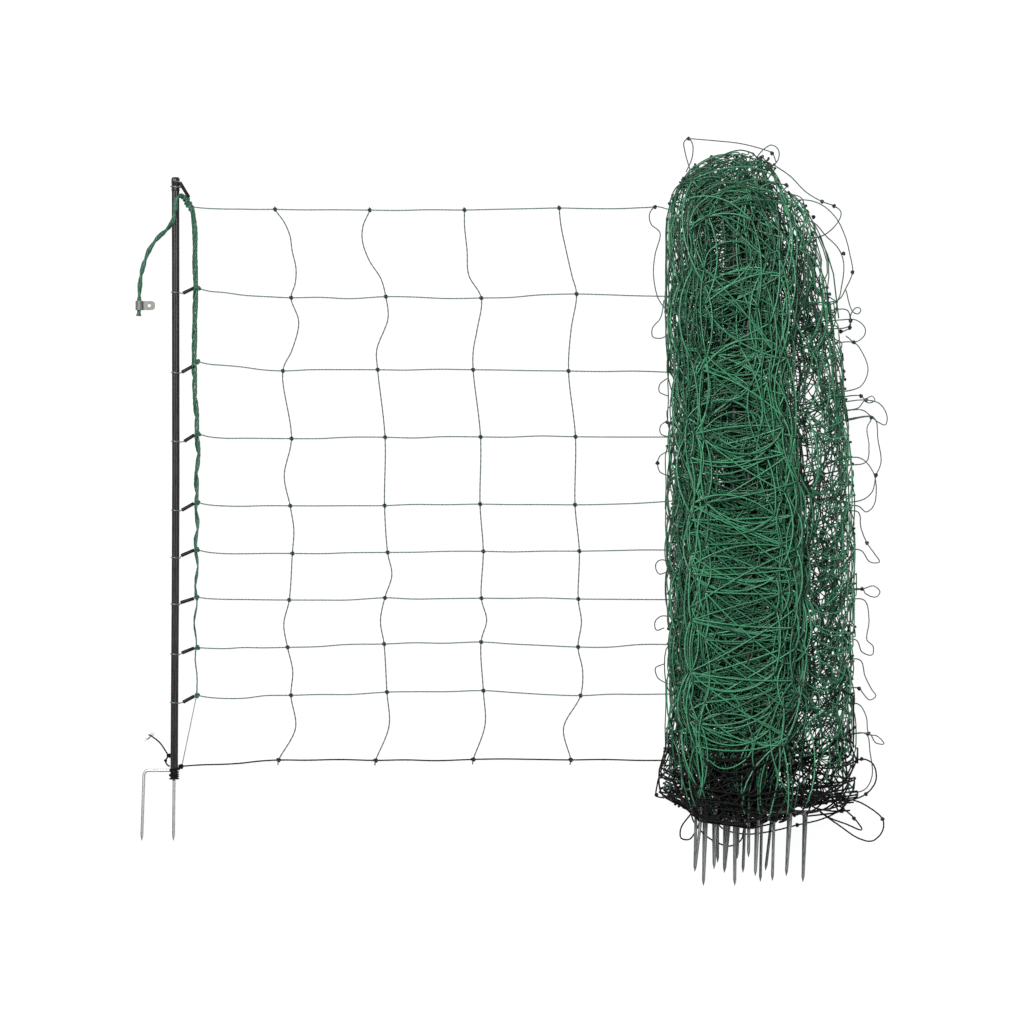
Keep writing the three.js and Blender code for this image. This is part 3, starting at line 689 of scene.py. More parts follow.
SPIKE_ZINC = Finish(
    "spike_zinc", (0.47, 0.48, 0.47), (0.4, 0.41, 0.4), (0.58, 0.59, 0.58), (0.35, 0.55),
    scale=90, stretch=0.3, relief=0.0001, metallic=0.85,
)
WORN_ZINC = Finish(
    "worn_zinc", (0.19, 0.21, 0.2), (0.1, 0.12, 0.11), (0.36, 0.38, 0.37), (0.28, 0.5),
    scale=60, stretch=0.15, relief=0.0001, metallic=0.85,
)
LUG_METAL = Finish(
    "lug_metal", (0.165, 0.165, 0.155), (0.12, 0.12, 0.11), (0.23, 0.23, 0.22), (0.5, 0.7),
    scale=140, relief=0.0001, metallic=0.6,
)
FLOOR_PAPER = Finish(
    "floor_paper", (0.09, 0.09, 0.09), (0.085, 0.085, 0.085), (0.1, 0.1, 0.1), (0.8, 0.95),
    scale=3, relief=0.0001, specular=0.1, glow=0.96,
)


class Workshop:
    """Makes each finish's material once, and hands finished pieces over to the frame."""

    def __init__(self) -> None:
        """Builds the shared node groups."""
        self.effects = EffectGroups()
        self.materials: dict[str, bpy.types.Material] = {}

    def paint(self, piece: bpy.types.Object, finish: Finish) -> None:
        """Gives a piece its finish."""
        if finish.name not in self.materials:
            self.materials[finish.name] = finish.material(self.effects)
        piece.data.materials.append(self.materials[finish.name])

    def hand_over(
        self, draft: MeshDraft, name: str, finish: Finish, nodes: tuple[str, ...] = ()
    ) -> bpy.types.Object:
        """Builds a piece, paints it and ties it to the frame.

        Args:
            draft: The piece's points and faces.
            name: The piece's name.
            finish: Its finish.
            nodes: The CAD nodes that it stands for.

        Returns:
            The piece.
        """
        piece = draft.build(name)
        self.paint(piece, finish)
        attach(piece, BODY)
        if nodes:
            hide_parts(*nodes)
        LOG.info("%s: %d faces", name, len(piece.data.polygons))
        return piece


@dataclass
class PostAxis:
    """Where a post lies, taken from its CAD node, and how far it bends along its length."""

    node: str
    bend_at: tuple[float, ...] = (0.0,)
    bend: tuple[float, ...] = (0.0,)

    def __post_init__(self) -> None:
        """Reads the node's box."""
        low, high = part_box(self.node)
        self.x = (low.x + high.x) / 2
        self.z = (low.z + high.z) / 2
        self.foot = low.y
        self.top = high.y

    def point(self, across: float, up: float, over: float = 0.0) -> Array:
        """A point near the post.

        Args:
            across: How far it is from the axis along X.
            up: How far it is above the foot along Y.
            over: How far it is above the axis along Z.

        Returns:
            The point in the row frame.
        """
        bent = float(np.interp(up, self.bend_at, self.bend))
        return np.array([self.x + bent + across, self.foot + up, self.z + over])


def end_axis() -> PostAxis:
    """The axis of the end post, which is slightly bent."""
    heights = (-97 * MM, 0.0, 95 * MM, 290 * MM, 480 * MM, 940 * MM)
    return PostAxis("end_post", heights, (-3.4 * MM, -2.2 * MM, -1.7 * MM, -0.3 * MM, 0.5 * MM, 0.0))


@dataclass
class SpikedPost:
    """A ribbed plastic rod with a double spike in its foot."""

    radius: float = 5.8 * MM
    ribs: int = 14
    rib_depth: float = 0.045
    spike_radius: float = 2.5 * MM
    spike_reach: float = 97 * MM
    point_length: float = 9 * MM
    arm_height: float = 14 * MM
    spread: float = 50 * MM
    splay: float = 2.4 * MM
    bend_radius: float = 7.5 * MM

    def rod(self, axis: PostAxis, detail: int) -> MeshDraft:
        """Draws the ribbed rod.

        Args:
            axis: Where the post lies.
            detail: The number of sides for each rib.

        Returns:
            The rod's mesh.
        """
        length = axis.top - axis.foot
        shares = [0.0, 0.0015, 0.015, 0.1, 0.2, 0.31, 0.4, 0.51, 0.65, 0.8, 0.985, 0.9985, 1.0]
        path = np.array([axis.point(0, share * length) for share in shares])
        radii = np.full(len(shares), self.radius)
        radii[[0, -1]] *= 0.86
        draft = MeshDraft()
        draft.tubes(path, radii[None], self.ribs * detail, lobes=self.ribs, depth=self.rib_depth)
        return draft

    def prongs(self, side: int) -> list[tuple[float, float]]:
        """Where the tips of the two prongs are: how far across, and how far above the foot."""
        return [(0.0, -self.spike_reach), (side * (self.spread + self.splay), -self.spike_reach)]

    def spike(self, axis: PostAxis, side: int, tips: list[tuple[float, float]], sides: int) -> MeshDraft:
        """Draws the double spike.

        Args:
            axis: Where its post lies.
            side: -1 if the second prong lies to the left, 1 if to the right.
            tips: Where the tips of the two prongs are.
            sides: The number of sides of the rods.

        Returns:
            The spike's mesh.
        """
        bend = [
            (
                side * (self.spread - self.bend_radius + self.bend_radius * math.sin(turn)),
                self.arm_height - self.bend_radius + self.bend_radius * math.cos(turn),
            )
            for turn in np.linspace(0, math.pi / 2, 7)
        ]
        starts = ([(0, 50 * MM), (0, self.arm_height)], [(0, self.arm_height), (side * 8 * MM, self.arm_height), *bend])
        draft = MeshDraft()
        for spots, tip in zip(starts, tips):
            root = np.array(spots[-1])
            ahead = (np.array(tip) - root) / np.linalg.norm(np.array(tip) - root)
            taper = [tuple(np.array(tip) - ahead * back) for back in (self.point_length, 0.8 * self.point_length, 1.2 * MM, 0.0)]
            path = np.array([axis.point(across, up) for across, up in [*spots, *taper]])
            radii = np.full(len(path), self.spike_radius)
            radii[-3:] *= (0.88, 0.3, 0.12)
            draft.tubes(path, radii[None], sides)
        return draft


@dataclass
class EndPost:
    """The end post with its cap and spike."""

    post: SpikedPost = field(default_factory=lambda: SpikedPost(spread=47.8 * MM, splay=2.2 * MM))
    cap_radius: float = 6.7 * MM

    def build(self, shop: Workshop) -> None:
        """Builds the rod, the spike and the cap."""
        axis = end_axis()
        shop.hand_over(self.post.rod(axis, 6), "post_rod", POST_PLASTIC, ("end_post",))
        spike = self.post.spike(axis, -1, self.post.prongs(-1), 16)
        shop.hand_over(spike, "post_spike", SPIKE_ZINC, ("end_spike",))
        low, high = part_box("end_post_cap")
        start = np.array([axis.x, low.y, axis.z])
        end = np.array([axis.x, high.y, axis.z])
        shape = [
            (0.0, 0.93), (0.02, 1.0), (0.1, 1.0), (0.12, 0.96), (0.5, 0.95), (0.52, 1.0), (0.84, 1.0),
            (0.93, 0.93), (0.985, 0.72), (1.0, 0.45), (1.0, 0.04),
        ]
        draft = MeshDraft()
        draft.lathe(start, end, [(share, width * self.cap_radius) for share, width in shape], 40)
        shop.hand_over(draft, "post_top_cap", POST_PLASTIC, ("end_post_cap",))


@dataclass
class DrawnNet:
    """The lines and stays that are drawn out, with their knots and their ties to the end post."""

    line_radius: float = 1.1 * MM
    ground_radius: float = 1.3 * MM
    stay_radius: float = 1.05 * MM
    step: float = 2.2 * MM
    pitch: float = 11 * MM
    line_z: float = 6.5 * MM
    tie_z: float = 9 * MM
    stay_z: float = 3.7 * MM
    loop_radius: float = 7.1 * MM
    sleeve_radius: float = 2.8 * MM
    line_starts: Route = (
        (193.4, 207.0), (198.3, 288.4), (197.6, 361.6), (198.4, 434.0), (197.6, 502.6),
        (197.2, 549.8), (196.8, 597.2), (197.4, 647.6), (197.2, 695.4), (182.0, 766.2),
    )
    line_dips: tuple[float, ...] = (209.0, 292.6, 365.4, 438.2, 506.0, 553.6, 599.3, 648.6, 698.4, 764.2)
    dip_px: float = 225.0
    line_ends: Route = (
        (655.0, 207.0), (678.0, 296.4), (678.0, 372.6), (680.0, 437.0), (680.0, 500.4),
        (680.0, 550.2), (680.0, 599.6), (680.0, 644.6), (680.0, 693.8), (682.0, 760.2),
    )
    stays: tuple[Route, ...] = (
        (
            (275.0, 209.3), (291.0, 297.7), (282.8, 370.9), (291.4, 438.6), (290.1, 505.8),
            (292.3, 553.4), (289.2, 600.0), (287.5, 647.3), (290.9, 695.3), (278.6, 760.0),
        ),
        (
            (369.6, 210.1), (385.7, 296.6), (377.6, 369.7), (385.0, 437.2), (384.5, 505.6),
            (387.6, 552.4), (384.8, 597.8), (384.0, 644.0), (386.9, 692.1), (375.6, 760.4),
        ),
        (
            (464.3, 210.0), (481.2, 298.0), (473.1, 369.7), (480.5, 436.9), (480.0, 504.1),
            (483.2, 551.3), (481.3, 598.2), (481.0, 642.0), (483.3, 690.6), (473.2, 759.4),
        ),
        (
            (559.0, 208.0), (576.5, 294.0), (568.5, 371.0), (575.4, 436.7), (575.0, 504.8),
            (579.3, 551.1), (578.2, 599.0), (578.0, 647.0), (580.5, 695.6), (570.7, 759.9),
        ),
    )
    stay_bends: tuple[dict[int, Route], ...] = (
        {
            0: ((284.0, 222.0), (290.0, 236.0), (292.0, 250.0), (296.0, 269.0), (295.0, 284.0)),
            1: ((298.7, 322.0), (292.0, 350.0)),
            3: ((284.2, 476.0),),
            4: ((293.8, 530.0),),
            6: ((283.8, 624.0),),
            7: ((292.7, 671.0),),
            8: ((295.5, 728.0),),
        },
        {
            0: ((363.0, 226.0), (362.4, 241.0), (369.0, 260.0), (381.0, 279.0)),
            1: ((388.0, 318.0), (376.7, 350.0)),
            5: ((391.8, 575.0),),
            6: ((380.4, 621.0),),
            8: ((389.0, 726.0),),
        },
        {
            0: ((464.5, 226.0), (467.0, 250.0), (468.7, 275.0)),
            1: ((477.0, 330.0), (473.3, 350.0)),
            6: ((486.6, 620.0),),
            8: ((485.0, 725.0),),
        },
        {
            0: ((561.0, 226.0), (566.0, 250.0), (572.0, 276.0)),
            1: ((571.0, 330.0),),
            6: ((581.4, 622.0),),
            7: ((582.6, 671.0),),
            8: ((563.5, 728.0),),
        },
    )
    loop_rows: tuple[float, ...] = (0.0, 292.7, 372.9, 441.6, 510.5, 557.8, 604.2, 654.2, 702.6)
    sleeves: tuple[tuple[float, float, float, float], ...] = (
        (179.8, 182.2, 188.9, 197.4), (183.0, 293.2, 194.0, 288.0), (181.8, 372.2, 194.0, 365.4),
        (184.2, 441.3, 194.4, 434.9), (181.8, 510.2, 194.0, 503.3), (181.2, 555.6, 194.2, 550.0),
        (180.6, 602.6, 194.0, 598.4), (181.8, 652.9, 194.2, 648.0), (183.0, 702.2, 194.4, 696.0),
    )

    def __post_init__(self) -> None:
        """Lays the knots on the plane, and finds the end post."""
        self.axis = end_axis()
        self.knots = PLANE.places(np.array(self.stays), self.line_z)
        self.rng = np.random.default_rng(7)
        self.edge_knots = MeshDraft()

    def line_points(self, line: int) -> Array:
        """The points of a line from its edge knot into the bundle.

        Args:
            line: The line's number, from 0 at the top.

        Returns:
            Points a few millimetres apart.
        """
        start = PLANE.places(self.line_starts[line], self.line_z)
        dip = PLANE.places((self.dip_px, self.line_dips[line]), self.line_z)
        early = start + (dip - start) * np.array([0.42, 0.66, 0.5])
        end = PLANE.places(self.line_ends[line], self.line_z)
        stops = [dip, *self.knots[:, line], end]
        points = [start, early, dip]
        for here, there in zip(stops, stops[1:]):
            for share in (0.3, 0.62):
                point = here + (there - here) * share
                point[1] += self.rng.normal(0, 1.0 * MM)
                point[2] += self.rng.normal(0, 0.5 * MM)
                points.append(point)
            points.append(there)
        return smoothed(points, self.step)

    def stay_points(self, stay: int) -> Array:
        """The points of a stay through all its knots.

        Args:
            stay: The stay's number, from 0 at the left.

        Returns:
            Points a few millimetres apart.
        """
        spots = [(self.stays[stay][0][0] - 0.4, self.stays[stay][0][1] - 3.0)]
        for line, knot in enumerate(self.stays[stay]):
            spots.append(knot)
            spots.extend(self.stay_bends[stay].get(line, ()))
        spots.append((self.stays[stay][-1][0] - 0.8, self.stays[stay][-1][1] + 5.0))
        return smoothed(PLANE.places(np.array(spots), self.stay_z), self.step)

    def post_loop(self, draft: MeshDraft, row: float, slant: float, reach: float, radius: float) -> None:
        """Winds a loop of twine round the post.

        Args:
            draft: The mesh that the loop is added to.
            row: How high the loop lies above the post's foot.
            slant: How much higher the loop is on its right side.
            reach: The loop's radius.
            radius: The twine's radius.
        """
        turn = np.linspace(0, TURN, 36, endpoint=False)
        path = [self.axis.point(reach * math.cos(a), row + slant * math.cos(a) / 2, reach * math.sin(a)) for a in turn]
        draft.tubes(np.array(path), radius, 7, 0.4, closed=True)

    def tie(self, draft: MeshDraft, line: int) -> tuple[Array, Array]:
        """Ties a line to the post.

        Args:
            draft: The line's mesh.
            line: The line's number.

        Returns:
            The start and the end of the tie's sleeve.
        """
        row = (PLANE.foot_px[1] - self.loop_rows[line]) * PLANE.metres_per_px
        self.post_loop(draft, row, -1.2 * MM, self.loop_radius, 0.85 * self.line_radius)
        left, top, right, bottom = self.sleeves[line]
        start = PLANE.places((left, top), self.tie_z)
        end = PLANE.places((right, bottom), self.line_z)
        knot = PLANE.places(self.line_starts[line], self.line_z)
        ring = self.axis.point(self.loop_radius, row - 0.6 * MM)
        path = smoothed([ring, ring * 0.5 + start * 0.5 + np.array([0, -0.4 * MM, 0]), start, end, knot], self.step)
        draft.tubes(path, 0.85 * self.line_radius, 7, 0.3)
        return start, end

    def sleeve(self, start: Array, end: Array) -> MeshDraft:
        """Draws an insulating sleeve.

        Args:
            start: One end of the sleeve.
            end: The other end.

        Returns:
            The sleeve's mesh.
        """
        draft = MeshDraft()
        r = self.sleeve_radius
        shape = [(0.0, 0.45 * r), (0.0, 0.9 * r), (0.03, r), (0.3, r), (0.5, 0.97 * r), (0.97, r), (1.0, 0.9 * r), (1.0, 0.45 * r)]
        draft.lathe(start, end, shape, 20)
        return draft

    def live_line(self, shop: Workshop, line: int) -> None:
        """Builds a line with its ties and knots."""
        draft = MeshDraft()
        node = f"live_line_{line + 1:02d}" if line < 9 else "ground_line"
        radius = self.line_radius if line < 9 else self.ground_radius
        draft.tubes(self.line_points(line), radius, 9, 0.45, lobes=3, depth=0.16, pitch=self.pitch)
        sleeve = None
        if 0 < line < 9:
            sleeve = self.tie(draft, line)
            knot = PLANE.places(self.line_starts[line], self.line_z + 1.2 * MM)
            self.edge_knots.knot(knot, np.array([3.3, 3.8, 2.6]) * MM, 1.3 * MM, 0.8 + line, 0.4)
        elif line == 0:
            sleeve = self.top_tie(draft)
        else:
            self.ground_tie(draft)
        finish = LIVE_TWINE if line < 9 else GROUND_TWINE
        shop.hand_over(draft, f"line_strand_{line + 1:02d}", finish, (node,))
        if sleeve:
            name = f"{line + 1:02d}"
            shop.hand_over(self.sleeve(*sleeve), f"sleeve_{name}", SLEEVE_PLASTIC, (f"tie_sleeve_{name}",))

    def top_tie(self, draft: MeshDraft) -> tuple[Array, Array]:
        """Ties the top line over the cap, and knots it to the edge cord and the lead.

        Args:
            draft: The top line's mesh.

        Returns:
            The start and the end of the tie's sleeve.
        """
        row = self.axis.top - self.axis.foot
        self.post_loop(draft, row - 3.5 * MM, -1.5 * MM, 7.7 * MM, self.line_radius)
        across = [self.axis.point(-3.4 * MM, row + 8.5 * MM, 7.2 * MM), self.axis.point(0.6 * MM, row + 5 * MM, 8 * MM)]
        left, top, right, bottom = self.sleeves[0]
        start = PLANE.places((left, top), 12 * MM)
        end = PLANE.places((right, bottom), 9 * MM)
        body = PLANE.places((188.6, 203.6), 7.5 * MM)
        draft.tubes(smoothed([*across, start, end, body], self.step), self.line_radius, 7, 0.9)
        self.knot_body()
        return start, end

    def knot_body(self) -> None:
        """Winds the thick knot that joins the edge cord, the lead and the top line."""
        first = PLANE.places((184.6, 196.6), 8.5 * MM)
        last = PLANE.places((191.6, 209.6), 7.6 * MM)
        ahead = (last - first) / np.linalg.norm(last - first)
        side = np.cross(ahead, [0.0, 0.0, 1.0])
        side /= np.linalg.norm(side)
        over = np.cross(side, ahead)
        turn = np.linspace(0, TURN, 30, endpoint=False)
        for wrap in range(9):
            share = wrap / 8
            reach = (3.4 + 1.9 * math.sin(math.pi * share)) * MM
            lean = 2.6 * MM * (1 if wrap % 3 else -1)
            centre = first + (last - first) * share
            path = (
                centre
                + side * (reach * np.cos(turn))[:, None]
                + over * (reach * np.sin(turn))[:, None]
                + ahead * (lean * np.cos(turn + wrap))[:, None]
            )
            self.edge_knots.tubes(path, 1.15 * MM, 7, 0.45 * (wrap % 3), closed=True)
        core = np.array([first - ahead * 2 * MM, (first + last) / 2, last + ahead * 2 * MM])
        self.edge_knots.tubes(smoothed(core, 2 * MM), 3.2 * MM, 12, 0.1)

    def ground_tie(self, draft: MeshDraft) -> None:
        """Winds the ground line round the post's foot and knots it."""
        for row, slant in ((0.9, 0.4), (5.0, -0.8), (7.4, 0.6), (12.2, -2.0), (16.4, 2.4)):
            self.post_loop(draft, row * MM, slant * MM, 6.9 * MM, self.ground_radius)
        self.post_loop(draft, 12 * MM, 11 * MM, 7.4 * MM, self.ground_radius)
        knot = PLANE.places((181.0, 766.4), 8.6 * MM)
        draft.knot(knot, np.array([2.9, 3.2, 2.4]) * MM, 1.5 * MM, 0.9, 0.2)
        start = self.axis.point(7.0 * MM, 14 * MM)
        draft.tubes(smoothed([start, knot, PLANE.places((184.0, 766.0), 6.5 * MM)], self.step), self.ground_radius, 7, 0.3)

    def crossing_knots(self, shop: Workshop) -> None:
        """Builds the knots where the lines cross the stays."""
        draft = MeshDraft()
        for stay in range(len(self.stays)):
            for line in range(10):
                centre = self.knots[stay, line].copy()
                centre[2] = 5.2 * MM
                turn = self.rng.uniform(0.5, 1.1)
                size = np.array([2.5, 2.7, 1.9]) * MM * (1.12 if line == 9 else 1.0)
                draft.knot(centre, size, 1.2 * MM, turn, 0.2)
                twist = smoothed([centre + np.array([-3.4, 0.6, 0.4]) * MM, centre, centre + np.array([3.4, -0.6, 0.4]) * MM], 1.5 * MM)
                draft.tubes(twist, 1.5 * MM, 7, 0.2)
        shop.hand_over(draft, "crossing_knots", KNOT_TWINE)

    def build(self, shop: Workshop) -> None:
        """Builds the lines, the stays and their knots."""
        for line in range(10):
            self.live_line(shop, line)
        for stay in range(len(self.stays)):
            draft = MeshDraft()
            points = self.stay_points(stay)
            draft.tubes(points, self.stay_radius, 8, 0.5, lobes=2, depth=0.12, pitch=18 * MM)
            name = f"{stay + 1:02d}"
            shop.hand_over(draft, f"stay_strand_{name}", DRAWN_STAY_TWINE, (f"stay_{name}",))
        shop.hand_over(self.edge_knots, "edge_knots", CORD_TWINE)
        self.crossing_knots(shop)


@dataclass
class EdgeCord:
    """The ends of the live lines twisted together along the end post."""

    strand_radius: float = 1.1 * MM
    pitch: float = 62 * MM
    step: float = 2.6 * MM
    route: Route = (
        (189.5, 204.5), (191.9, 209.0), (194.0, 222.0), (195.0, 236.0), (195.0, 265.0), (195.7, 284.0),
        (195.0, 313.0), (194.2, 360.0), (194.7, 389.0), (196.6, 418.0), (197.0, 434.0), (198.0, 456.0),
        (196.5, 480.0), (196.5, 502.0), (197.3, 520.0), (195.7, 540.0), (196.5, 550.0), (196.5, 575.0),
        (196.2, 596.0), (195.2, 620.0), (195.7, 647.0), (197.0, 693.0),
    )
    rows: tuple[float, ...] = (289.0, 361.0, 433.5, 502.5, 550.0, 597.8, 647.5, 694.5)
    widths_px: tuple[float, ...] = (5.4, 5.5, 5.2, 4.9, 4.5, 3.9, 3.1, 2.2)
    ground_knot: tuple[float, float] = (181.8, 766.2)

    def build(self, shop: Workshop) -> None:
        """Builds the cord, one strand for each line that hasn't left it yet."""
        centre = smoothed(PLANE.places(np.array(self.route), 6.5 * MM), self.step)
        along = np.concatenate([[0], np.cumsum(np.linalg.norm(np.diff(centre, axis=0), axis=1))])
        heights = PLANE.places(np.array([(196.0, row) for row in self.rows]), 0.0)[:, 1]
        widths = np.array(self.widths_px) * PLANE.metres_per_px / 2 - self.strand_radius
        spread = np.interp(-centre[:, 1], -heights, widths)
        spread = np.maximum(spread, 0.2 * MM)
        draft = MeshDraft()
        starts = np.linspace(0, TURN, 8, endpoint=False)
        for strand in range(8):
            last = int(np.argmin(np.abs(centre[:, 1] - heights[strand])))
            turn = along / self.pitch * TURN + starts[strand]
            wobble = 1 + 0.12 * np.sin(along * 90 + strand * 1.7)
            path = centre.copy()
            path[:, 0] += spread * wobble * np.cos(turn)
            path[:, 2] += spread * wobble * np.sin(turn)
            last = max(last, 6)
            draft.tubes(path[: last + 1], self.strand_radius, 7, 0.9 * (strand % 3) / 2, lobes=3, depth=0.12, pitch=40 * MM)
        shop.hand_over(draft, "twisted_edge_cord", CORD_TWINE, ("edge_cord",))
        draft = MeshDraft()
        tail = [centre[-1], PLANE.places((190.0, 727.0), 6.5 * MM), PLANE.places(self.ground_knot, 8 * MM)]
        draft.tubes(smoothed(tail, self.step), 0.9 * MM, 7, 0.9, lobes=3, depth=0.12, pitch=11 * MM)
        shop.hand_over(draft, "last_edge_strand", BARE_TWINE)


@dataclass
class ConnectingLead:
    """The lead that joins the live lines, with the lug clamped on its end."""

    radius: float = 4.0 * MM
    pitch: float = 58 * MM
    step: float = 2.6 * MM
    rest_z: float = 5.75 * MM
    over_z: float = 18.7 * MM
    diameter: float = 8.2 * MM
    route: tuple[tuple[float, float, float], ...] = (
        (183.7, 198.2, 0.15), (181.8, 195.7, 0.66), (176.8, 199.8, 1.0), (175.8, 210.0, 1.0),
        (174.5, 217.9, 1.0), (172.0, 223.9, 0.92), (166.3, 230.9, 0.45), (160.0, 235.9, 0.1),
        (154.0, 242.9, 0.0), (149.5, 249.9, 0.0), (146.4, 257.1, 0.0), (143.5, 266.0, 0.0),
        (141.0, 276.8, 0.0), (140.0, 286.9, 0.0), (139.4, 298.0, 0.0), (139.4, 305.9, 0.0),
        (138.8, 316.0, 0.0),
    )
    lug_spot: tuple[float, float] = (139.4, 305.6)
    lug_length: float = 24.6 * MM
    lug_width: float = 14.5 * MM
    lug_thickness: float = 1.5 * MM
    lug_hole: float = 2.5 * MM

    def centreline(self) -> Array:
        """The points down the middle of the lead."""
        heights = [self.rest_z + (self.over_z - self.rest_z) * raised for _, _, raised in self.route]
        spots = np.array([(x, y) for x, y, _ in self.route])
        flat = PLANE.places(spots, 0.0)
        flat[:, 2] = heights
        return smoothed(flat, self.step)

    def build(self, shop: Workshop) -> None:
        centre = self.centreline()
        length = length_of(centre)
        along = np.linspace(0, length, len(centre))
        ahead = np.gradient(centre, axis=0)
        ahead /= np.linalg.norm(ahead, axis=1, keepdims=True)
        side = np.cross(ahead, [0.0, 0.0, 1.0])
        side /= np.linalg.norm(side, axis=1, keepdims=True)
        over = np.cross(side, ahead)
        flare = np.interp(along, [0, length - 14 * MM, length], [0, 0, 1])
        draft = MeshDraft()
        for half in range(2):
            for strand in range(4):
                turn = along / self.pitch * TURN + half * math.pi
                inner = along / (0.8 * self.pitch) * TURN + strand * TURN / 4
                reach = 1.6 * MM + 0.5 * MM * flare
                fine = 1.45 * MM + 0.9 * MM * flare
                path = (
                    centre
                    + side * (reach * np.cos(turn) + fine * np.cos(inner))[:, None]
                    + over * (reach * np.sin(turn) + fine * np.sin(inner))[:, None]
                )
                draft.tubes(path, 1.05 * MM, 7, 0.9 * (strand % 2), lobes=3, depth=0.1, pitch=40 * MM)
        lead = shop.hand_over(draft, "lead_cord", CORD_TWINE, ("connecting_lead",))
        lug = self.build_lug(shop)
        LOG.info("the lead is %.3f m long", length)

    def build_lug(self, shop: Workshop) -> bpy.types.Object:
        """Builds the lug: a flat tab with a hole, folded round the lead.

        Returns:
            The lug.
        """
        spot = PLANE.places(self.lug_spot, 0.0)
        half, thick = self.lug_width / 2, self.lug_thickness
        inner = self.radius + 0.5 * MM
        turns = np.linspace(-0.5 * math.pi, 1.32 * math.pi, 20)
        middle = inner + thick / 2
        wrap = [(middle * math.cos(a), middle * math.sin(a) + self.rest_z) for a in turns]
        across = [(self.lug_length * s, thick / 2) for s in (1.0, 0.9, 0.8, 0.7, 0.6, 0.5, 0.4, 0.3, 0.2, 0.1)]
        line = np.array(across + wrap)
        ahead = np.gradient(line, axis=0)
        ahead /= np.linalg.norm(ahead, axis=1, keepdims=True)
        normal = np.stack([-ahead[:, 1], ahead[:, 0]], axis=1) * thick / 2
        mesh = bpy.data.meshes.new("lug_plate")
        ring_sides = 24
        points, faces = [], []
        rows = 12
        for x, (nx, nz) in zip(line, normal):
            reach = half
            if x[0] > self.lug_length - half and x[1] < thick:
                reach = half * (0.52 + 0.48 * math.sqrt(max(0.0, 1 - ((x[0] - self.lug_length + half) / half) ** 2)))
            for y in np.linspace(-reach, reach, rows):
                points.append((spot[0] + x[0] + nx, spot[1] + y, x[1] + nz))
                points.append((spot[0] + x[0] - nx, spot[1] + y, x[1] - nz))
        count = rows * 2
        for i in range(len(line) - 1):
            for j in range(rows - 1):
                a, b = i * count + 2 * j, (i + 1) * count + 2 * j
                faces.append((a, a + 2, b + 2, b))
                faces.append((a + 1, b + 1, b + 3, a + 3))
            for j, flip in ((0, False), (rows - 1, True)):
                a, b = i * count + 2 * j, (i + 1) * count + 2 * j
                face = (a, b, b + 1, a + 1)
                faces.append(face[::-1] if flip else face)
        for i, flip in ((0, False), (len(line) - 1, True)):
            for j in range(rows - 1):
                a = i * count + 2 * j
                face = (a, a + 1, a + 3, a + 2)
                faces.append(face[::-1] if flip else face)
        mesh.from_pydata(points, [], faces)
        mesh.update()
        lug = bpy.data.objects.new("lug_plate", mesh)
        bpy.context.scene.collection.objects.link(lug)
        self.drill(lug, spot, ring_sides)
        shop.paint(lug, LUG_METAL)
        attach(lug, BODY)
        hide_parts("lead_lug")
        return lug

    def drill(self, lug: bpy.types.Object, spot: Array, sides: int) -> None:
        """Cuts the hole through the lug's tab and bevels its edges.

        Args:
            lug: The lug.
            spot: The point of the floor under the lead at the lug.
            sides: The hole's number of sides.
        """
        centre = spot + np.array([self.lug_length - self.lug_width * 0.62, 0, 0])
        draft = MeshDraft()
        draft.lathe(centre - np.array([0, 0, 5 * MM]), centre + np.array([0, 0, 3.2 * MM]), [(0, self.lug_hole), (1, self.lug_hole)], sides)
        cutter = draft.build("lug_drill")
        cut = lug.modifiers.new("hole", "BOOLEAN")
        cut.object = cutter
        cut.operation = "DIFFERENCE"
        cut.solver = "EXACT"
        bevel = lug.modifiers.new("bevel", "BEVEL")
        bevel.width = 0.25 * MM
        bevel.segments = 2
        bevel.limit_method = "ANGLE"
        bpy.context.view_layer.update()
        baked = bpy.data.meshes.new_from_object(lug.evaluated_get(bpy.context.evaluated_depsgraph_get()))
        lug.modifiers.clear()
        lug.data = baked
        bpy.data.objects.remove(cutter)


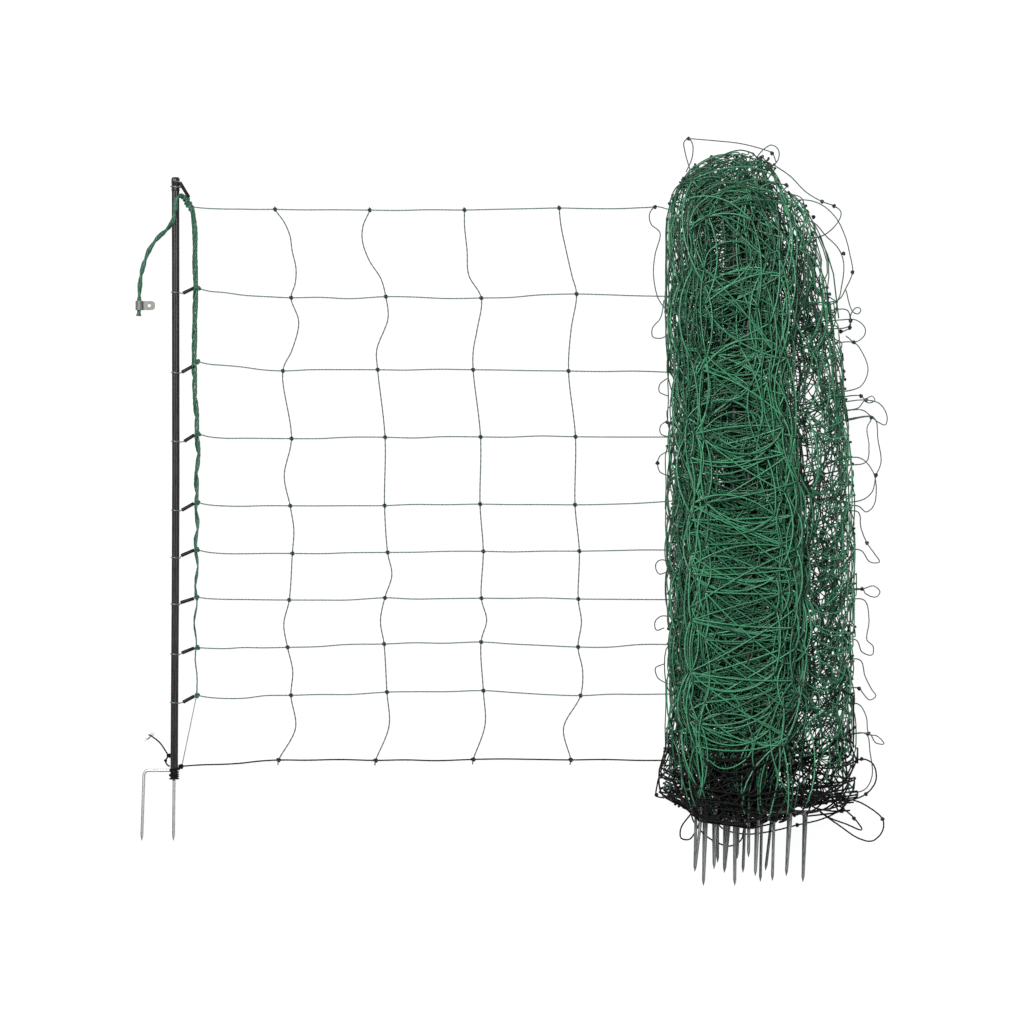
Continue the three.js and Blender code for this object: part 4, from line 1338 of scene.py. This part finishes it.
@dataclass
class GroundLineTail:
    """The loose end of the ground line at the post's foot."""

    radius: float = 1.3 * MM
    diameter: float = 2.6 * MM
    rest_z: float = 1.5 * MM
    route: tuple[tuple[float, float, float], ...] = (
        (169.9, 766.0, 1.0), (167.2, 764.4, 0.6), (165.7, 760.6, 0.2), (167.9, 755.9, 0.0),
        (165.0, 749.9, 0.0), (159.6, 742.3, 0.0), (154.0, 737.8, 0.0), (148.6, 734.4, 0.0),
    )

    def build(self, shop: Workshop) -> None:
        axis = end_axis()
        spots = np.array([(x, y) for x, y, _ in self.route])
        flat = PLANE.places(spots, 0.0)
        flat[:, 2] = [self.rest_z + (axis.z - self.rest_z) * raised for _, _, raised in self.route]
        centre = smoothed(flat, 1.6 * MM)
        draft = MeshDraft()
        draft.tubes(centre, self.radius, 9, 0.3, lobes=3, depth=0.16, pitch=9 * MM)
        tail = shop.hand_over(draft, "tail_cord", GROUND_TWINE, ("ground_line_tail",))
        fray = MeshDraft()
        fray.knot(flat[2], np.array([1.8, 2.0, 1.0]) * MM, 1.0 * MM, 0.6, 0.2)
        fray.knot(flat[3] + np.array([2.2, 0.4, 1.6]) * MM, np.array([2.6, 3.2, 1.8]) * MM, 1.3 * MM, 1.2, 0.2)
        end = centre[-1] + np.array([3.0, -3.0, 0]) * MM
        for across, up in ((-8.5, -3.5), (-9.5, -7.0), (-5.0, -5.5), (0.5, 6.5), (4.5, 7.0), (6.5, 4.0)):
            tip = end + np.array([across, up, 0.1]) * MM
            tip[2] = 0.6 * MM
            middle = (end + tip) / 2 + np.array([0.8, -0.6, 0.6]) * MM
            fray.tubes(smoothed([end, middle, tip], 1.5 * MM), 0.35 * MM, 5, 0.5)
        fibres = shop.hand_over(fray, "tail_fibres", GROUND_TWINE)


@dataclass
class FoldedNet:
    """The rest of the net, folded to and fro into the bundle."""

    columns: int = 276
    over_columns: int = 80
    # The topmost columns are painted pale as if lit; over the next ones the painted light fades to the painted shade of
    # the deep columns.
    painted_lit_columns: int = 27
    painted_shade_columns: int = 66
    cell: float = 150 * MM
    strand_radius: float = 1.1 * MM
    over_radius: float = 1.15 * MM
    ground_radius: float = 1.4 * MM
    low_z: float = 4 * MM
    post_top_z: float = 143 * MM
    high_z: float = 159 * MM
    rows_px: tuple[float, ...] = (0.0, 88.0, 162.0, 229.0, 296.0, 343.0, 390.0, 437.0, 485.0, 551.0)
    roof: Route = (
        (663.0, 216.0), (672.0, 190.0), (690.0, 166.0), (712.0, 154.0), (740.0, 148.0), (770.0, 156.0), (790.0, 180.0),
        (808.0, 205.0), (824.0, 235.0), (836.0, 270.0), (843.0, 330.0), (850.0, 420.0),
    )
    left_edge: Route = ((690.0, 164.0), (672.0, 190.0), (664.0, 214.0), (664.0, 745.0), (658.0, 770.0), (657.0, 800.0))
    right_edge: Route = (
        (790.0, 177.0), (808.0, 205.0), (824.0, 235.0), (836.0, 270.0), (843.0, 330.0), (850.0, 420.0), (856.0, 480.0),
        (858.0, 815.0),
    )
    floor_edge: Route = (
        (656.0, 797.0), (687.0, 810.0), (698.0, 821.0), (715.0, 824.0), (752.0, 829.0), (790.0, 821.0), (852.0, 814.0),
    )
    body_left_px: float = 667.0
    body_right_px: float = 803.0
    crown_px: float = 739.0
    gathers_px: tuple[float, float] = (698.0, 787.0)
    fringe_share: float = 0.145
    seed: int = 11

    def __post_init__(self) -> None:
        """Lays out the folds and all knots."""
        self.rng = np.random.default_rng(self.seed)
        self.lay_folds()

    def walk(self) -> tuple[Array, Array]:
        """Folds the net to and fro across the bundle.

        Returns:
            How far across each column lies, in pixels, and whether it lies in the open fringe.
        """
        rng = self.rng
        across: list[float] = []
        fringe: list[bool] = []
        edge = self.right_edge[-1][0]
        while len(across) < self.columns:
            deep = len(across) < self.columns - self.over_columns
            left = self.body_left_px + rng.uniform(0, 52 if deep else 38)
            across += [left, min(left + rng.uniform(56 if deep else 68, 93), self.body_right_px)]
            fringe += [False, False]
            if rng.random() < self.fringe_share:
                across.append(edge - rng.uniform(4, 44))
                fringe.append(True)
                if rng.random() < 0.6:
                    across.append(edge - rng.uniform(4, 50))
                    fringe.append(True)
                across.append(self.body_right_px - rng.uniform(0, 40))
                fringe.append(False)
            if rng.random() < 0.25 and len(across) < self.columns - self.painted_lit_columns:
                across.append(rng.uniform(705, 765))
                fringe.append(False)
        return np.array(across[: self.columns]), np.array(fringe[: self.columns])

    def pile(self, spots: Array) -> Array:
        """How high the bundle is at some pixels, as a share of its full height."""
        across = np.interp(spots[..., 0], [658, 668, 692, 796, 816, 860], [0.45, 0.7, 1, 1, 0.6, 0.34])
        along = np.interp(spots[..., 1], [148, 172, 205, 830, 850], [0.5, 0.8, 1, 1, 0.8])
        return across * along

    @staticmethod
    def edge(route: Route, along: Array, axis: int) -> Array:
        """Reads one of the outline's edges.

        Args:
            route: The edge's points.
            along: Where the edge is read.
            axis: Which pixel coordinate that is, 0 for x and 1 for y.

        Returns:
            The other coordinate.
        """
        spots = np.array(route)
        return np.interp(along, spots[:, axis], spots[:, 1 - axis])

    def confine(self, paths: Array) -> Array:
        """Keeps strands inside the bundle's outline, so that they lie along its edges.

        Args:
            paths: The strands' points.

        Returns:
            The points inside the outline.
        """
        spots = PLANE.pixels(paths)
        soft = 1.5
        inset = np.minimum(self.rng.exponential(1.0, (4, *spots.shape[:-2], 1)), 3.0)
        x, y = spots[..., 0], spots[..., 1]
        slope = np.clip((430 - y) / 150, 0, 1)
        roof = self.edge(self.roof, x, 0) + 3 * inset[0]
        y = roof + soft * np.logaddexp(0, (y - roof) / soft)
        base = self.edge(self.floor_edge, x, 0) - 11 * inset[1]
        y = base - soft * np.logaddexp(0, (base - y) / soft)
        left = self.edge(self.left_edge, y, 1) + inset[2] * (3 + np.sin(y * 0.11 + 9 * inset[3]))
        x = left + soft * np.logaddexp(0, (x - left) / soft)
        right = self.edge(self.right_edge, y, 1) - inset[3] * (5 + 12 * slope)
        x = right - soft * np.logaddexp(0, (right - x) / soft)
        return PLANE.places(np.stack([x, y], axis=-1), paths[..., 2])

    def lay_folds(self) -> None:
        """Finds the place of every knot of the folded net, in pixels and in height."""
        rng = self.rng
        count = self.columns
        across, fringe = self.walk()
        roof = self.edge(self.roof, across, 0)
        top = np.where(rng.random(count) < 0.22, roof + rng.exponential(9, count), rng.uniform(178, 264, count))
        top = np.where(fringe, top, np.maximum(top, roof + 2))
        rows = np.array(self.rows_px)
        bottom = top + rows[-1] + rng.uniform(-8, 18, count)
        limit = self.edge(self.floor_edge, across, 0) - rng.exponential(11, count)
        bottom = np.where((rng.random(count) < 0.4) & ~fringe, limit, np.minimum(bottom, limit))
        spots = np.zeros((count, 10, 2))
        spots[..., 1] = top[:, None] + rows / rows[-1] * (bottom - top)[:, None] + rng.normal(0, 5, (count, 10))
        sway = rng.normal(0, 5, (count, 10)).cumsum(axis=1) * 0.7
        sway -= sway.mean(axis=1, keepdims=True)
        spots[..., 0] = across[:, None] + sway + rng.normal(0, 3, (count, 10))
        right = across > self.crown_px
        loose = rng.random(count) < np.where(right, 0.3, 0.5)
        wall = np.where(right, rng.uniform(796, 815, count), rng.uniform(665, 690, count))
        gathered = np.where(right, self.gathers_px[1], self.gathers_px[0]) + rng.normal(0, 9, count)
        gathered = np.where(loose, wall, gathered)
        pull = np.clip((spots[..., 1] - 380) / 110, 0, 1) * np.clip((750 - spots[..., 1]) / 60, 0, 1) * 0.88
        middling = (np.abs(across - self.crown_px) < 30) & (rng.random(count) < 0.6)
        middling &= np.arange(count) < count - self.painted_lit_columns
        pull = np.where((fringe | middling)[:, None], 0, pull)
        spots[..., 0] += pull * (gathered[:, None] - spots[..., 0])
        spots[..., 1] += np.where(right[:, None], 9 * pull, -6 * pull)
        strewn = rng.random(count) < 0.62
        spots[:, 9, 0] += np.where(strewn, rng.normal(-2, 28, count), rng.normal(0, 6, count))
        spots[:, 9, 1] += np.where(strewn, rng.normal(0, 8, count), 0)
        low = self.edge(self.left_edge, spots[..., 1], 1) + rng.exponential(3, (count, 10))
        slope = np.clip((430 - spots[..., 1]) / 150, 0, 1)
        high = self.edge(self.right_edge, spots[..., 1], 1) - rng.exponential(1, (count, 10)) * (3 + 14 * slope)
        spots[..., 0] = np.clip(spots[..., 0], low, high)
        under = np.arange(count) / (count - self.over_columns)
        over = (np.arange(count) - count + self.over_columns) / self.over_columns
        inner = self.low_z + (self.post_top_z - self.low_z) * under
        outer = self.post_top_z + (self.high_z - self.post_top_z) * over
        height = np.where(under < 1, inner, outer)
        heights = height[:, None] * self.pile(spots) + rng.normal(0, 1.8, (count, 10)) * MM
        self.fringe = fringe
        self.right = right
        # Painted light and shade by depth: the top columns are painted pale as if lit, the ones below fade to dark as
        # painted shade, and the open fringe is painted at least middling pale.
        behind = count - np.arange(count)
        painted_depth_shade = 0.16 * np.clip(1 - behind / self.painted_shade_columns, 0, 1) + 0.015
        self.pale = np.where(behind <= self.painted_lit_columns, 0.95, painted_depth_shade)
        self.pale = np.where(fringe, np.maximum(0.4, self.pale), self.pale)
        self.spots = spots
        self.knots = self.confine(PLANE.places(spots, np.clip(heights, 2.6 * MM, self.high_z)))

    def slack(self, start: Array, end: Array, length: Array, turn: Array, steps: int) -> Array:
        """Hangs strands between pairs of points.

        Args:
            start: Where each strand starts.
            end: Where it ends.
            length: Its length.
            turn: The direction in which it sags, as an angle about the vertical.
            steps: The number of points of each.

        Returns:
            The strands' points.
        """
        chord = end - start
        span = np.linalg.norm(chord, axis=1)
        spare = np.maximum(length - span, 0.002 * span)
        curly = np.clip(1.6 * spare / np.maximum(length, span) - 0.35, 0, 0.75)
        depth = 0.435 * np.sqrt((span + spare * (1 - curly)) ** 2 - span**2)
        sag = np.stack([np.cos(turn), np.sin(turn), np.zeros_like(turn)], axis=1)
        beside = np.stack([-sag[:, 1], sag[:, 0], np.zeros_like(turn)], axis=1)
        beside *= np.where((beside * chord).sum(1) < 0, -1.0, 1.0)[:, None]
        wide = 0.34 * depth * np.sqrt(spare / (spare + span))
        t = np.linspace(0, 1, steps)
        lean = self.rng.uniform(-0.3, 0.3, len(start))
        skewed = t + lean[:, None] * t * (1 - t)
        bow = 4 * skewed * (1 - skewed)
        paths = start[:, None] + chord[:, None] * t[:, None]
        paths = paths + sag[:, None] * (depth[:, None] * bow)[..., None]
        paths = paths - beside[:, None] * (wide[:, None] * np.sin(TURN * t))[..., None]
        for wave in (2, 3, 4):
            reach = self.rng.normal(0, 0.36 / wave, (2, len(start)))
            kink = (reach * (curly + 0.12) * spare)[..., None] * np.sin(wave * math.pi * t)
            paths = paths + sag[:, None] * kink[0][..., None] + beside[:, None] * kink[1][..., None]
        lift = self.rng.normal(0, 3 * MM, len(start))[:, None] * np.sin(math.pi * t)
        paths[..., 2] += lift
        paths[..., 2] = np.clip(paths[..., 2], 1.6 * MM, self.high_z + 1.5 * MM)
        return self.confine(paths)

    def line_strands(self, rows: range, chosen: Array, steps: int) -> Array:
        """Hangs the parts of some lines between neighbouring columns.

        Args:
            rows: The lines.
            chosen: The columns that the parts start from.
            steps: The number of points of each part.

        Returns:
            The strands' points.
        """
        made = []
        for row in rows:
            start, end = self.knots[chosen, row], self.knots[chosen + 1, row]
            number = len(chosen)
            middle = (self.spots[chosen, row, 0] + self.spots[chosen + 1, row, 0]) / 2
            rising = (0.85, 0.45, 0.42, 0.4, 0.25, 0.2, 0.16, 0.14, 0.1, 0.04)[row]
            up = self.rng.random(number) < rising
            drift = 0.5 * np.sin(chosen * 0.31 + row * 1.3) - 0.15
            turn = np.where(up, math.pi / 2, -math.pi / 2) + drift + self.rng.normal(0, 0.35, number)
            if row == 0:
                outward = math.pi / 2 - (middle - self.crown_px) / 70
                turn = np.where(up, outward + self.rng.normal(0, 0.25, number), turn)
            open_net = self.fringe[chosen] | self.fringe[chosen + 1]
            beside = (self.right[chosen] == self.right[chosen + 1]) & (row > 3)
            outward = np.where(middle > self.crown_px, -0.6, -2.6) + self.rng.normal(0, 0.7, number)
            turn = np.where(beside, outward, turn)
            turn = np.where(open_net, self.rng.normal(-1.35, 0.6, number), turn)
            length = self.cell * self.rng.uniform(0.97, 1.02, number)
            span = np.linalg.norm(end - start, axis=1)
            calm = np.where(open_net, 0.8, np.where(beside, 0.5, 0.85)) if row else np.full(number, 0.5)
            calm = np.where(beside & (middle < self.crown_px), 0.22, calm)
            calm = 0.9 if row == 9 else calm
            length = span + np.maximum(length - span, 0) * calm
            made.append(self.slack(start, end, length, turn, steps))
        return np.concatenate(made)

    def stay_strands(self, chosen: Array, steps: int) -> Array:
        """Hangs the parts of the stays between neighbouring lines.

        Args:
            chosen: The columns.
            steps: The number of points of each part.

        Returns:
            The strands' points.
        """
        start = self.knots[chosen, :-1].reshape(-1, 3)
        end = self.knots[chosen, 1:].reshape(-1, 3)
        span = np.linalg.norm(end - start, axis=1)
        loose = np.tile(self.fringe[chosen][:, None], (1, 9)).ravel()
        length = span * (1 + self.rng.uniform(0.004, 0.06, len(span)) * np.where(loose, 2.5, 1))
        turn = self.rng.choice([0.0, math.pi], len(span)) + self.rng.normal(0, 0.3, len(span))
        return self.slack(start, end, length, turn, steps)

    def strand_piece(
        self, shop: Workshop, name: str, paths: Array, pale: Array, sides: int, kind: Strand, nodes: tuple[str, ...]
    ) -> None:
        """Builds a piece of many strands, the upper ones painted pale as lit and the deeper ones painted dark as shade.

        Args:
            shop: The workshop.
            name: The piece's name.
            paths: The strands' points.
            pale: How pale each strand's column is painted, as painted light on the upper columns and painted shade on
                the deeper ones.
            sides: The number of sides of each.
            kind: The kind of strand.
            nodes: The CAD nodes that the piece stands for.
        """
        draft = MeshDraft()
        radius = self.over_radius if sides > 3 else self.strand_radius
        radius = self.ground_radius if kind is Strand.GROUND else radius
        # Each strand's tone is its column's painted light or shade, varied at random from strand to strand.
        chance = self.rng.random(len(paths))
        tones = pale * (0.35 + 0.65 * chance)
        draft.tubes(paths, radius, sides, tones)
        finish = GROUND_TWINE if kind is Strand.GROUND else FOLDED_TWINE_PAINTED_LIGHT
        shop.hand_over(draft, name, finish, nodes)

    def build(self, shop: Workshop) -> None:
        """Builds the folded lines, stays and knots."""
        count = self.columns
        split = count - self.over_columns
        under, over = np.arange(split), np.arange(split, count - 1)
        lines = range(9)
        for place, chosen, steps, sides, nodes in (
            ("under", under, 15, 3, ("bundled_net",)),
            ("over", over, 22, 5, ()),
        ):
            paths = self.line_strands(lines, chosen, steps)
            pale = np.tile(self.pale[chosen], len(lines))
            self.strand_piece(shop, f"folded_lines_{place}", paths, pale, sides, Strand.LIVE, nodes)
            paths = self.stay_strands(chosen, 8)
            pale = np.tile(self.pale[chosen][:, None], (1, 9)).ravel()
            self.strand_piece(shop, f"folded_stays_{place}", paths, pale, sides, Strand.STAY, ())
        chosen = np.arange(count - 1)
        paths = self.line_strands(range(9, 10), chosen, 19)
        nodes = ("bundled_ground_line",)
        self.strand_piece(shop, "folded_ground_line", paths, self.pale[chosen], 5, Strand.GROUND, nodes)
        draft = MeshDraft()
        centres = self.knots.reshape(-1, 3)
        sizes = np.array([2.7, 2.3, 2.1]) * MM * self.rng.uniform(0.85, 1.2, (len(centres), 1))
        draft.blobs(centres, sizes, self.rng.uniform(0, math.pi, len(centres)), self.rng.random(len(centres)))
        shop.hand_over(draft, "folded_knots", KNOT_TWINE)


@dataclass
class LooseLoops:
    """The loops of twine that stand out of the bundle's sides."""

    green: tuple[Route, ...] = (
        ((690.0, 170.0), (685.0, 152.0), (684.0, 142.0), (688.5, 138.5), (692.5, 144.0), (692.0, 158.0), (686.0, 172.0)),
        ((688.5, 138.5), (712.0, 140.5), (740.0, 143.5), (762.0, 149.0), (772.0, 153.0), (776.0, 162.0)),
        ((756.0, 158.0), (764.0, 149.0), (772.0, 145.0), (778.5, 150.0), (778.0, 160.0), (768.0, 170.0)),
        ((774.0, 165.0), (790.0, 176.0), (806.0, 192.0), (822.0, 201.5), (834.0, 206.0), (841.0, 212.0), (838.0, 222.0), (822.0, 236.0)),
        ((806.0, 200.0), (822.0, 205.0), (836.0, 218.0), (845.0, 236.0), (850.0, 255.0), (852.5, 272.0), (846.0, 288.0), (838.0, 300.0)),
        ((812.0, 222.0), (826.0, 236.0), (838.0, 248.0), (843.5, 262.0), (842.0, 284.0), (836.0, 302.0)),
        ((655.0, 207.0), (649.5, 214.0), (651.0, 224.0), (660.0, 233.0), (655.0, 255.0), (653.5, 275.0), (658.0, 298.0), (666.0, 310.0)),
        ((664.0, 300.0), (660.5, 318.0), (652.5, 328.0), (653.0, 337.0), (662.0, 338.0), (670.0, 333.0)),
        ((846.0, 290.0), (850.0, 306.0), (853.0, 312.0), (858.0, 314.0), (861.0, 309.5), (856.5, 307.5), (851.0, 314.0), (849.0, 326.0)),
        ((840.0, 320.0), (856.0, 320.0), (865.0, 328.0), (864.0, 336.0), (855.0, 342.0), (846.0, 336.0)),
        ((853.5, 342.5), (862.0, 352.0), (868.0, 370.0), (862.0, 385.0), (852.0, 390.0)),
        ((860.5, 396.0), (868.0, 403.0), (875.0, 400.0), (872.0, 396.0), (864.0, 401.0), (858.0, 408.0)),
        ((866.0, 400.0), (880.0, 404.0), (887.0, 416.0), (885.0, 425.0), (878.0, 422.0), (871.5, 417.0), (862.0, 410.0)),
        ((871.5, 417.0), (867.0, 428.0), (869.0, 446.0), (866.0, 462.0)),
        ((874.0, 418.0), (878.0, 440.0), (881.0, 462.0), (876.0, 476.0), (872.0, 492.0), (862.0, 500.0)),
        ((860.0, 458.0), (872.0, 470.0), (876.0, 484.0), (874.0, 505.0), (866.0, 512.0), (858.0, 506.0)),
        ((858.0, 512.0), (861.0, 528.0), (867.0, 543.0), (874.0, 553.0), (879.5, 562.0), (870.0, 562.0), (860.0, 550.0)),
        ((862.0, 589.0), (874.0, 586.0), (880.0, 592.0), (876.0, 597.0), (866.0, 594.0), (862.0, 589.0)),
        ((864.0, 600.0), (869.0, 620.0), (867.0, 640.0), (873.0, 646.0), (872.0, 655.0), (862.0, 652.0), (856.0, 640.0)),
        ((860.0, 660.0), (865.0, 676.0), (872.0, 690.0), (876.0, 696.0), (870.0, 700.0), (862.0, 692.0), (859.0, 688.0)),
        ((858.0, 704.0), (866.0, 716.0), (869.0, 734.0), (877.0, 736.0), (884.0, 744.0), (876.0, 743.0), (868.5, 733.5)),
        ((866.0, 734.0), (870.0, 752.0), (872.0, 776.0), (864.0, 790.0)),
        ((836.0, 326.0), (840.5, 331.6), (849.4, 328.0), (850.3, 321.4), (847.0, 310.0)),
        ((668.0, 378.0), (660.0, 384.0), (659.5, 392.0), (668.0, 396.0)),
        ((668.0, 420.0), (660.5, 426.0), (661.0, 434.0), (669.0, 437.0)),
        ((670.0, 450.0), (660.0, 456.0), (657.5, 463.0), (660.0, 472.0), (670.0, 476.0)),
        ((660.0, 560.0), (655.5, 566.0), (659.0, 574.0), (667.0, 572.0)),
        ((662.0, 616.0), (655.0, 622.0), (656.0, 630.0), (664.0, 628.0)),
        ((664.0, 664.0), (655.5, 668.0), (658.0, 678.0), (668.0, 684.0)),
    )
    black: tuple[Route, ...] = (
        ((672.0, 770.0), (660.0, 776.0), (657.0, 786.0), (656.5, 796.0), (668.0, 797.0), (686.0, 793.0)),
        ((698.0, 804.0), (690.0, 815.0), (681.0, 828.0), (681.0, 838.0), (690.0, 839.0), (697.0, 828.0), (700.0, 820.5), (704.0, 810.0)),
        ((690.0, 804.0), (693.0, 820.0), (703.0, 833.0), (714.0, 841.0), (730.0, 846.0), (741.0, 840.0), (744.0, 828.0), (748.0, 818.0)),
        ((712.0, 814.0), (722.0, 828.0), (744.0, 834.0), (770.0, 831.5), (797.3, 825.0), (822.0, 819.0), (840.0, 810.0), (848.0, 800.0)),
        ((820.0, 812.0), (840.0, 826.0), (858.0, 838.0), (872.0, 841.0), (882.0, 832.0), (883.0, 820.0), (870.0, 808.0), (852.0, 800.0)),
        ((816.0, 808.0), (828.0, 817.0), (846.0, 824.0), (862.0, 830.0), (854.0, 818.0), (840.0, 806.0)),
        ((846.0, 766.0), (861.7, 759.0), (873.0, 764.0), (876.0, 780.0), (866.0, 794.0), (846.0, 802.0)),
    )
    green_knots: Route = (
        (688.5, 138.7), (772.0, 153.3), (822.0, 201.5), (834.0, 206.0), (813.5, 217.0), (843.5, 253.5),
        (852.5, 272.3), (850.5, 321.0), (853.7, 342.3), (849.8, 327.8), (841.0, 331.5), (861.0, 396.0),
        (866.0, 400.0), (871.5, 417.5), (876.0, 475.0), (862.0, 589.0), (859.0, 688.5), (868.5, 733.5),
        (655.0, 207.0), (666.0, 312.0), (657.5, 463.0), (867.0, 543.0),
    )
    black_knots: Route = (
        (656.5, 795.0), (700.0, 820.5), (714.0, 841.0), (882.5, 819.0), (854.0, 818.5), (661.0, 775.5),
        (866.0, 794.0), (861.7, 759.0), (797.3, 825.0),
    )
    height: float = 22 * MM

    @staticmethod
    def anchored(route: Route) -> Array:
        """Carries both ends of a loop on into the bundle."""
        spots = np.array(route)
        ends = []
        for end in (spots[0], spots[-1]):
            inward = max(end[0] - 30, 812) if end[0] > 846 else end[0]
            inward = end[0] - 30 if 800 < end[0] < 846 and end[1] < 330 else inward
            inward = min(end[0] + 16, 680) if end[0] < 664 else inward
            ends.append([inward, end[1] + 3])
        moved = [i for i in (0, 1) if ends[i][0] != spots[-i][0]]
        if 0 in moved:
            spots = np.vstack([ends[0], spots])
        if 1 in moved:
            spots = np.vstack([spots, ends[1]])
        return spots

    def build(self, shop: Workshop) -> None:
        """Builds the loops and their knots."""
        rng = np.random.default_rng(5)
        for title, routes, knots, radius, finish, slot in (
            ("green", self.green, self.green_knots, 1.0 * MM, DRAWN_STAY_TWINE, Slot.TWINE),
            ("black", self.black, self.black_knots, 1.3 * MM, GROUND_TWINE, Slot.BLACK),
        ):
            draft = MeshDraft()
            for route in routes:
                spots = self.anchored(route)
                heights = self.height + rng.normal(0, 4 * MM, len(spots))
                path = smoothed(PLANE.places(spots, heights), 3 * MM)
                draft.tubes(path, radius, 6, rng.random(), lobes=3, depth=0.1, pitch=12 * MM)
            shop.hand_over(draft, f"loose_{title}_loops", finish)
            draft = MeshDraft()
            for spot in knots:
                centre = PLANE.places(spot, self.height)
                draft.knot(centre, np.array([2.3, 2.6, 1.8]) * MM, 1.2 * MM, rng.uniform(0, 3), 0.2)
            shop.hand_over(draft, f"loose_{title}_knots", KNOT_TWINE)


@dataclass
class PackedPosts:
    """The posts inside the bundle, with their spikes and the sleeves of their ties."""

    post: SpikedPost = field(default_factory=SpikedPost)
    count: int = 13
    rows: tuple[float, ...] = (767.0, 641.0, 532.0, 424.0, 350.0, 276.0, 197.0, 119.0)
    tips_px: Route = (
        (694.7, 871.7), (703.3, 885.7), (714.0, 869.3), (717.6, 862.7), (724.3, 872.7), (734.7, 885.7), (737.0, 859.0),
        (742.9, 872.7), (748.5, 857.3), (755.2, 876.0), (760.3, 881.7), (765.5, 870.5), (772.3, 880.7), (786.2, 876.0),
        (802.8, 882.0),
    )

    def __post_init__(self) -> None:
        """Finds the posts, and lists where all their prongs would be if they stood straight."""
        self.axes = [PostAxis(f"bundled_post_{number:02d}") for number in range(1, self.count + 1)]
        self.sides = []
        for number, axis in enumerate(self.axes, 1):
            low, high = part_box(f"bundled_spike_{number:02d}")
            self.sides.append(-1 if axis.x - low.x > high.x - axis.x else 1)
        places = zip(self.axes, self.sides)
        self.prongs = np.array([axis.x + across for axis, side in places for across, _ in self.post.prongs(side)])
        self.share_tips()

    def share_tips(self) -> None:
        """Gives each prong the tip nearest to it, and each tip at least one prong."""
        tips = PLANE.places(np.array(self.tips_px), self.axes[0].z)[:, 0]
        apart = np.abs(self.prongs[:, None] - tips)
        self.tip_of = apart.argmin(axis=1)
        for tip in range(len(tips)):
            if tip not in self.tip_of:
                shared = np.bincount(self.tip_of, minlength=len(tips))[self.tip_of] > 1
                self.tip_of[np.where(shared, apart[:, tip], np.inf).argmin()] = tip

    def leaning(self, number: int) -> list[tuple[float, float]]:
        """Leans a spike's prongs, so that their tips lie as they do in the photograph.

        Args:
            number: The spike's number, from 0.

        Returns:
            Where the tips of the two prongs are.
        """
        axis = self.axes[number]
        wanted = PLANE.places(np.array(self.tips_px), axis.z)[self.tip_of[2 * number : 2 * number + 2]]
        return [(float(tip[0] - axis.x), float(tip[1] - axis.foot)) for tip in wanted]

    def build(self, shop: Workshop) -> None:
        """Builds every post, its spike and its sleeves."""
        rng = np.random.default_rng(3)
        sleeves = MeshDraft()
        for number, (axis, side) in enumerate(zip(self.axes, self.sides), 1):
            name = f"{number:02d}"
            rod = self.post.rod(axis, 3)
            shop.hand_over(rod, f"packed_post_{name}", POST_PLASTIC, (f"bundled_post_{name}",))
            spike = self.post.spike(axis, side, self.leaning(number - 1), 10)
            shop.hand_over(spike, f"packed_spike_{name}", WORN_ZINC, (f"bundled_spike_{name}",))
            for row in self.rows:
                start = axis.point(8 * MM * rng.choice([-1, 1]), row * MM, rng.uniform(-2, 2) * MM)
                lean = rng.uniform(-0.6, 0.6)
                reach = 18 * MM * (1 if start[0] > axis.x else -1)
                end = start + np.array([reach * math.cos(lean), 18 * MM * math.sin(lean), rng.uniform(-3, 3) * MM])
                shape = [(0, 1.6 * MM), (0, 2.5 * MM), (0.04, 2.75 * MM), (0.96, 2.75 * MM), (1, 2.5 * MM), (1, 1.6 * MM)]
                sleeves.lathe(start, end, shape, 8)
        shop.hand_over(sleeves, "packed_sleeves", SLEEVE_PLASTIC)


@dataclass
class Studio:
    """The floor, the light and the camera."""

    floor_size: float = 14.0
    sky: float = 0.09
    lamp_power: float = 310.0

    def build(self, shop: Workshop) -> None:
        """Builds the floor, the light and the camera."""
        scene = bpy.context.scene
        scene.view_settings.view_transform = "Standard"
        world = bpy.data.worlds.new("soft_white")
        world.use_nodes = True
        world.node_tree.nodes["Background"].inputs[0].default_value = (1.0, 1.0, 1.0, 1.0)
        world.node_tree.nodes["Background"].inputs[1].default_value = self.sky
        scene.world = world
        for name, spot, size, power in (
            ("overhead_lamp", (-1.1, 1.5, 4.4), 1.4, self.lamp_power),
            ("side_lamp", (2.4, -1.6, 3.2), 2.0, self.lamp_power * 0.1),
        ):
            lamp = bpy.data.lights.new(name, "AREA")
            lamp.size = size
            lamp.energy = power
            holder = bpy.data.objects.new(name, lamp)
            holder.location = spot
            holder.rotation_euler = (-Vector(spot)).to_track_quat("-Z", "Y").to_euler()
            scene.collection.objects.link(holder)
        half = self.floor_size / 2
        mesh = bpy.data.meshes.new("floor")
        corners = [(-half, -half, 0.0), (half, -half, 0.0), (half, half, 0.0), (-half, half, 0.0)]
        mesh.from_pydata(corners, [], [(0, 1, 2, 3)])
        floor = bpy.data.objects.new("floor", mesh)
        floor.location.z = -0.5 * MM
        scene.collection.objects.link(floor)
        shop.paint(floor, FLOOR_PAPER)
        camera = bpy.data.cameras.new("camera")
        camera.sensor_width = PLANE.sensor_mm
        camera.lens = PLANE.lens_mm
        camera.clip_end = 100.0
        holder = bpy.data.objects.new("camera", camera)
        holder.location = (*PLANE.centre, PLANE.camera_height)
        scene.collection.objects.link(holder)
        scene.camera = holder


def main() -> None:
    """Builds every sub-assembly in order."""
    logging.basicConfig(level=logging.INFO, format="%(message)s")
    shop = Workshop()
    Studio().build(shop)
    ConnectingLead().build(shop)
    GroundLineTail().build(shop)
    EndPost().build(shop)
    DrawnNet().build(shop)
    EdgeCord().build(shop)
    PackedPosts().build(shop)
    FoldedNet().build(shop)
    LooseLoops().build(shop)


if __name__ == "__main__":
    main()
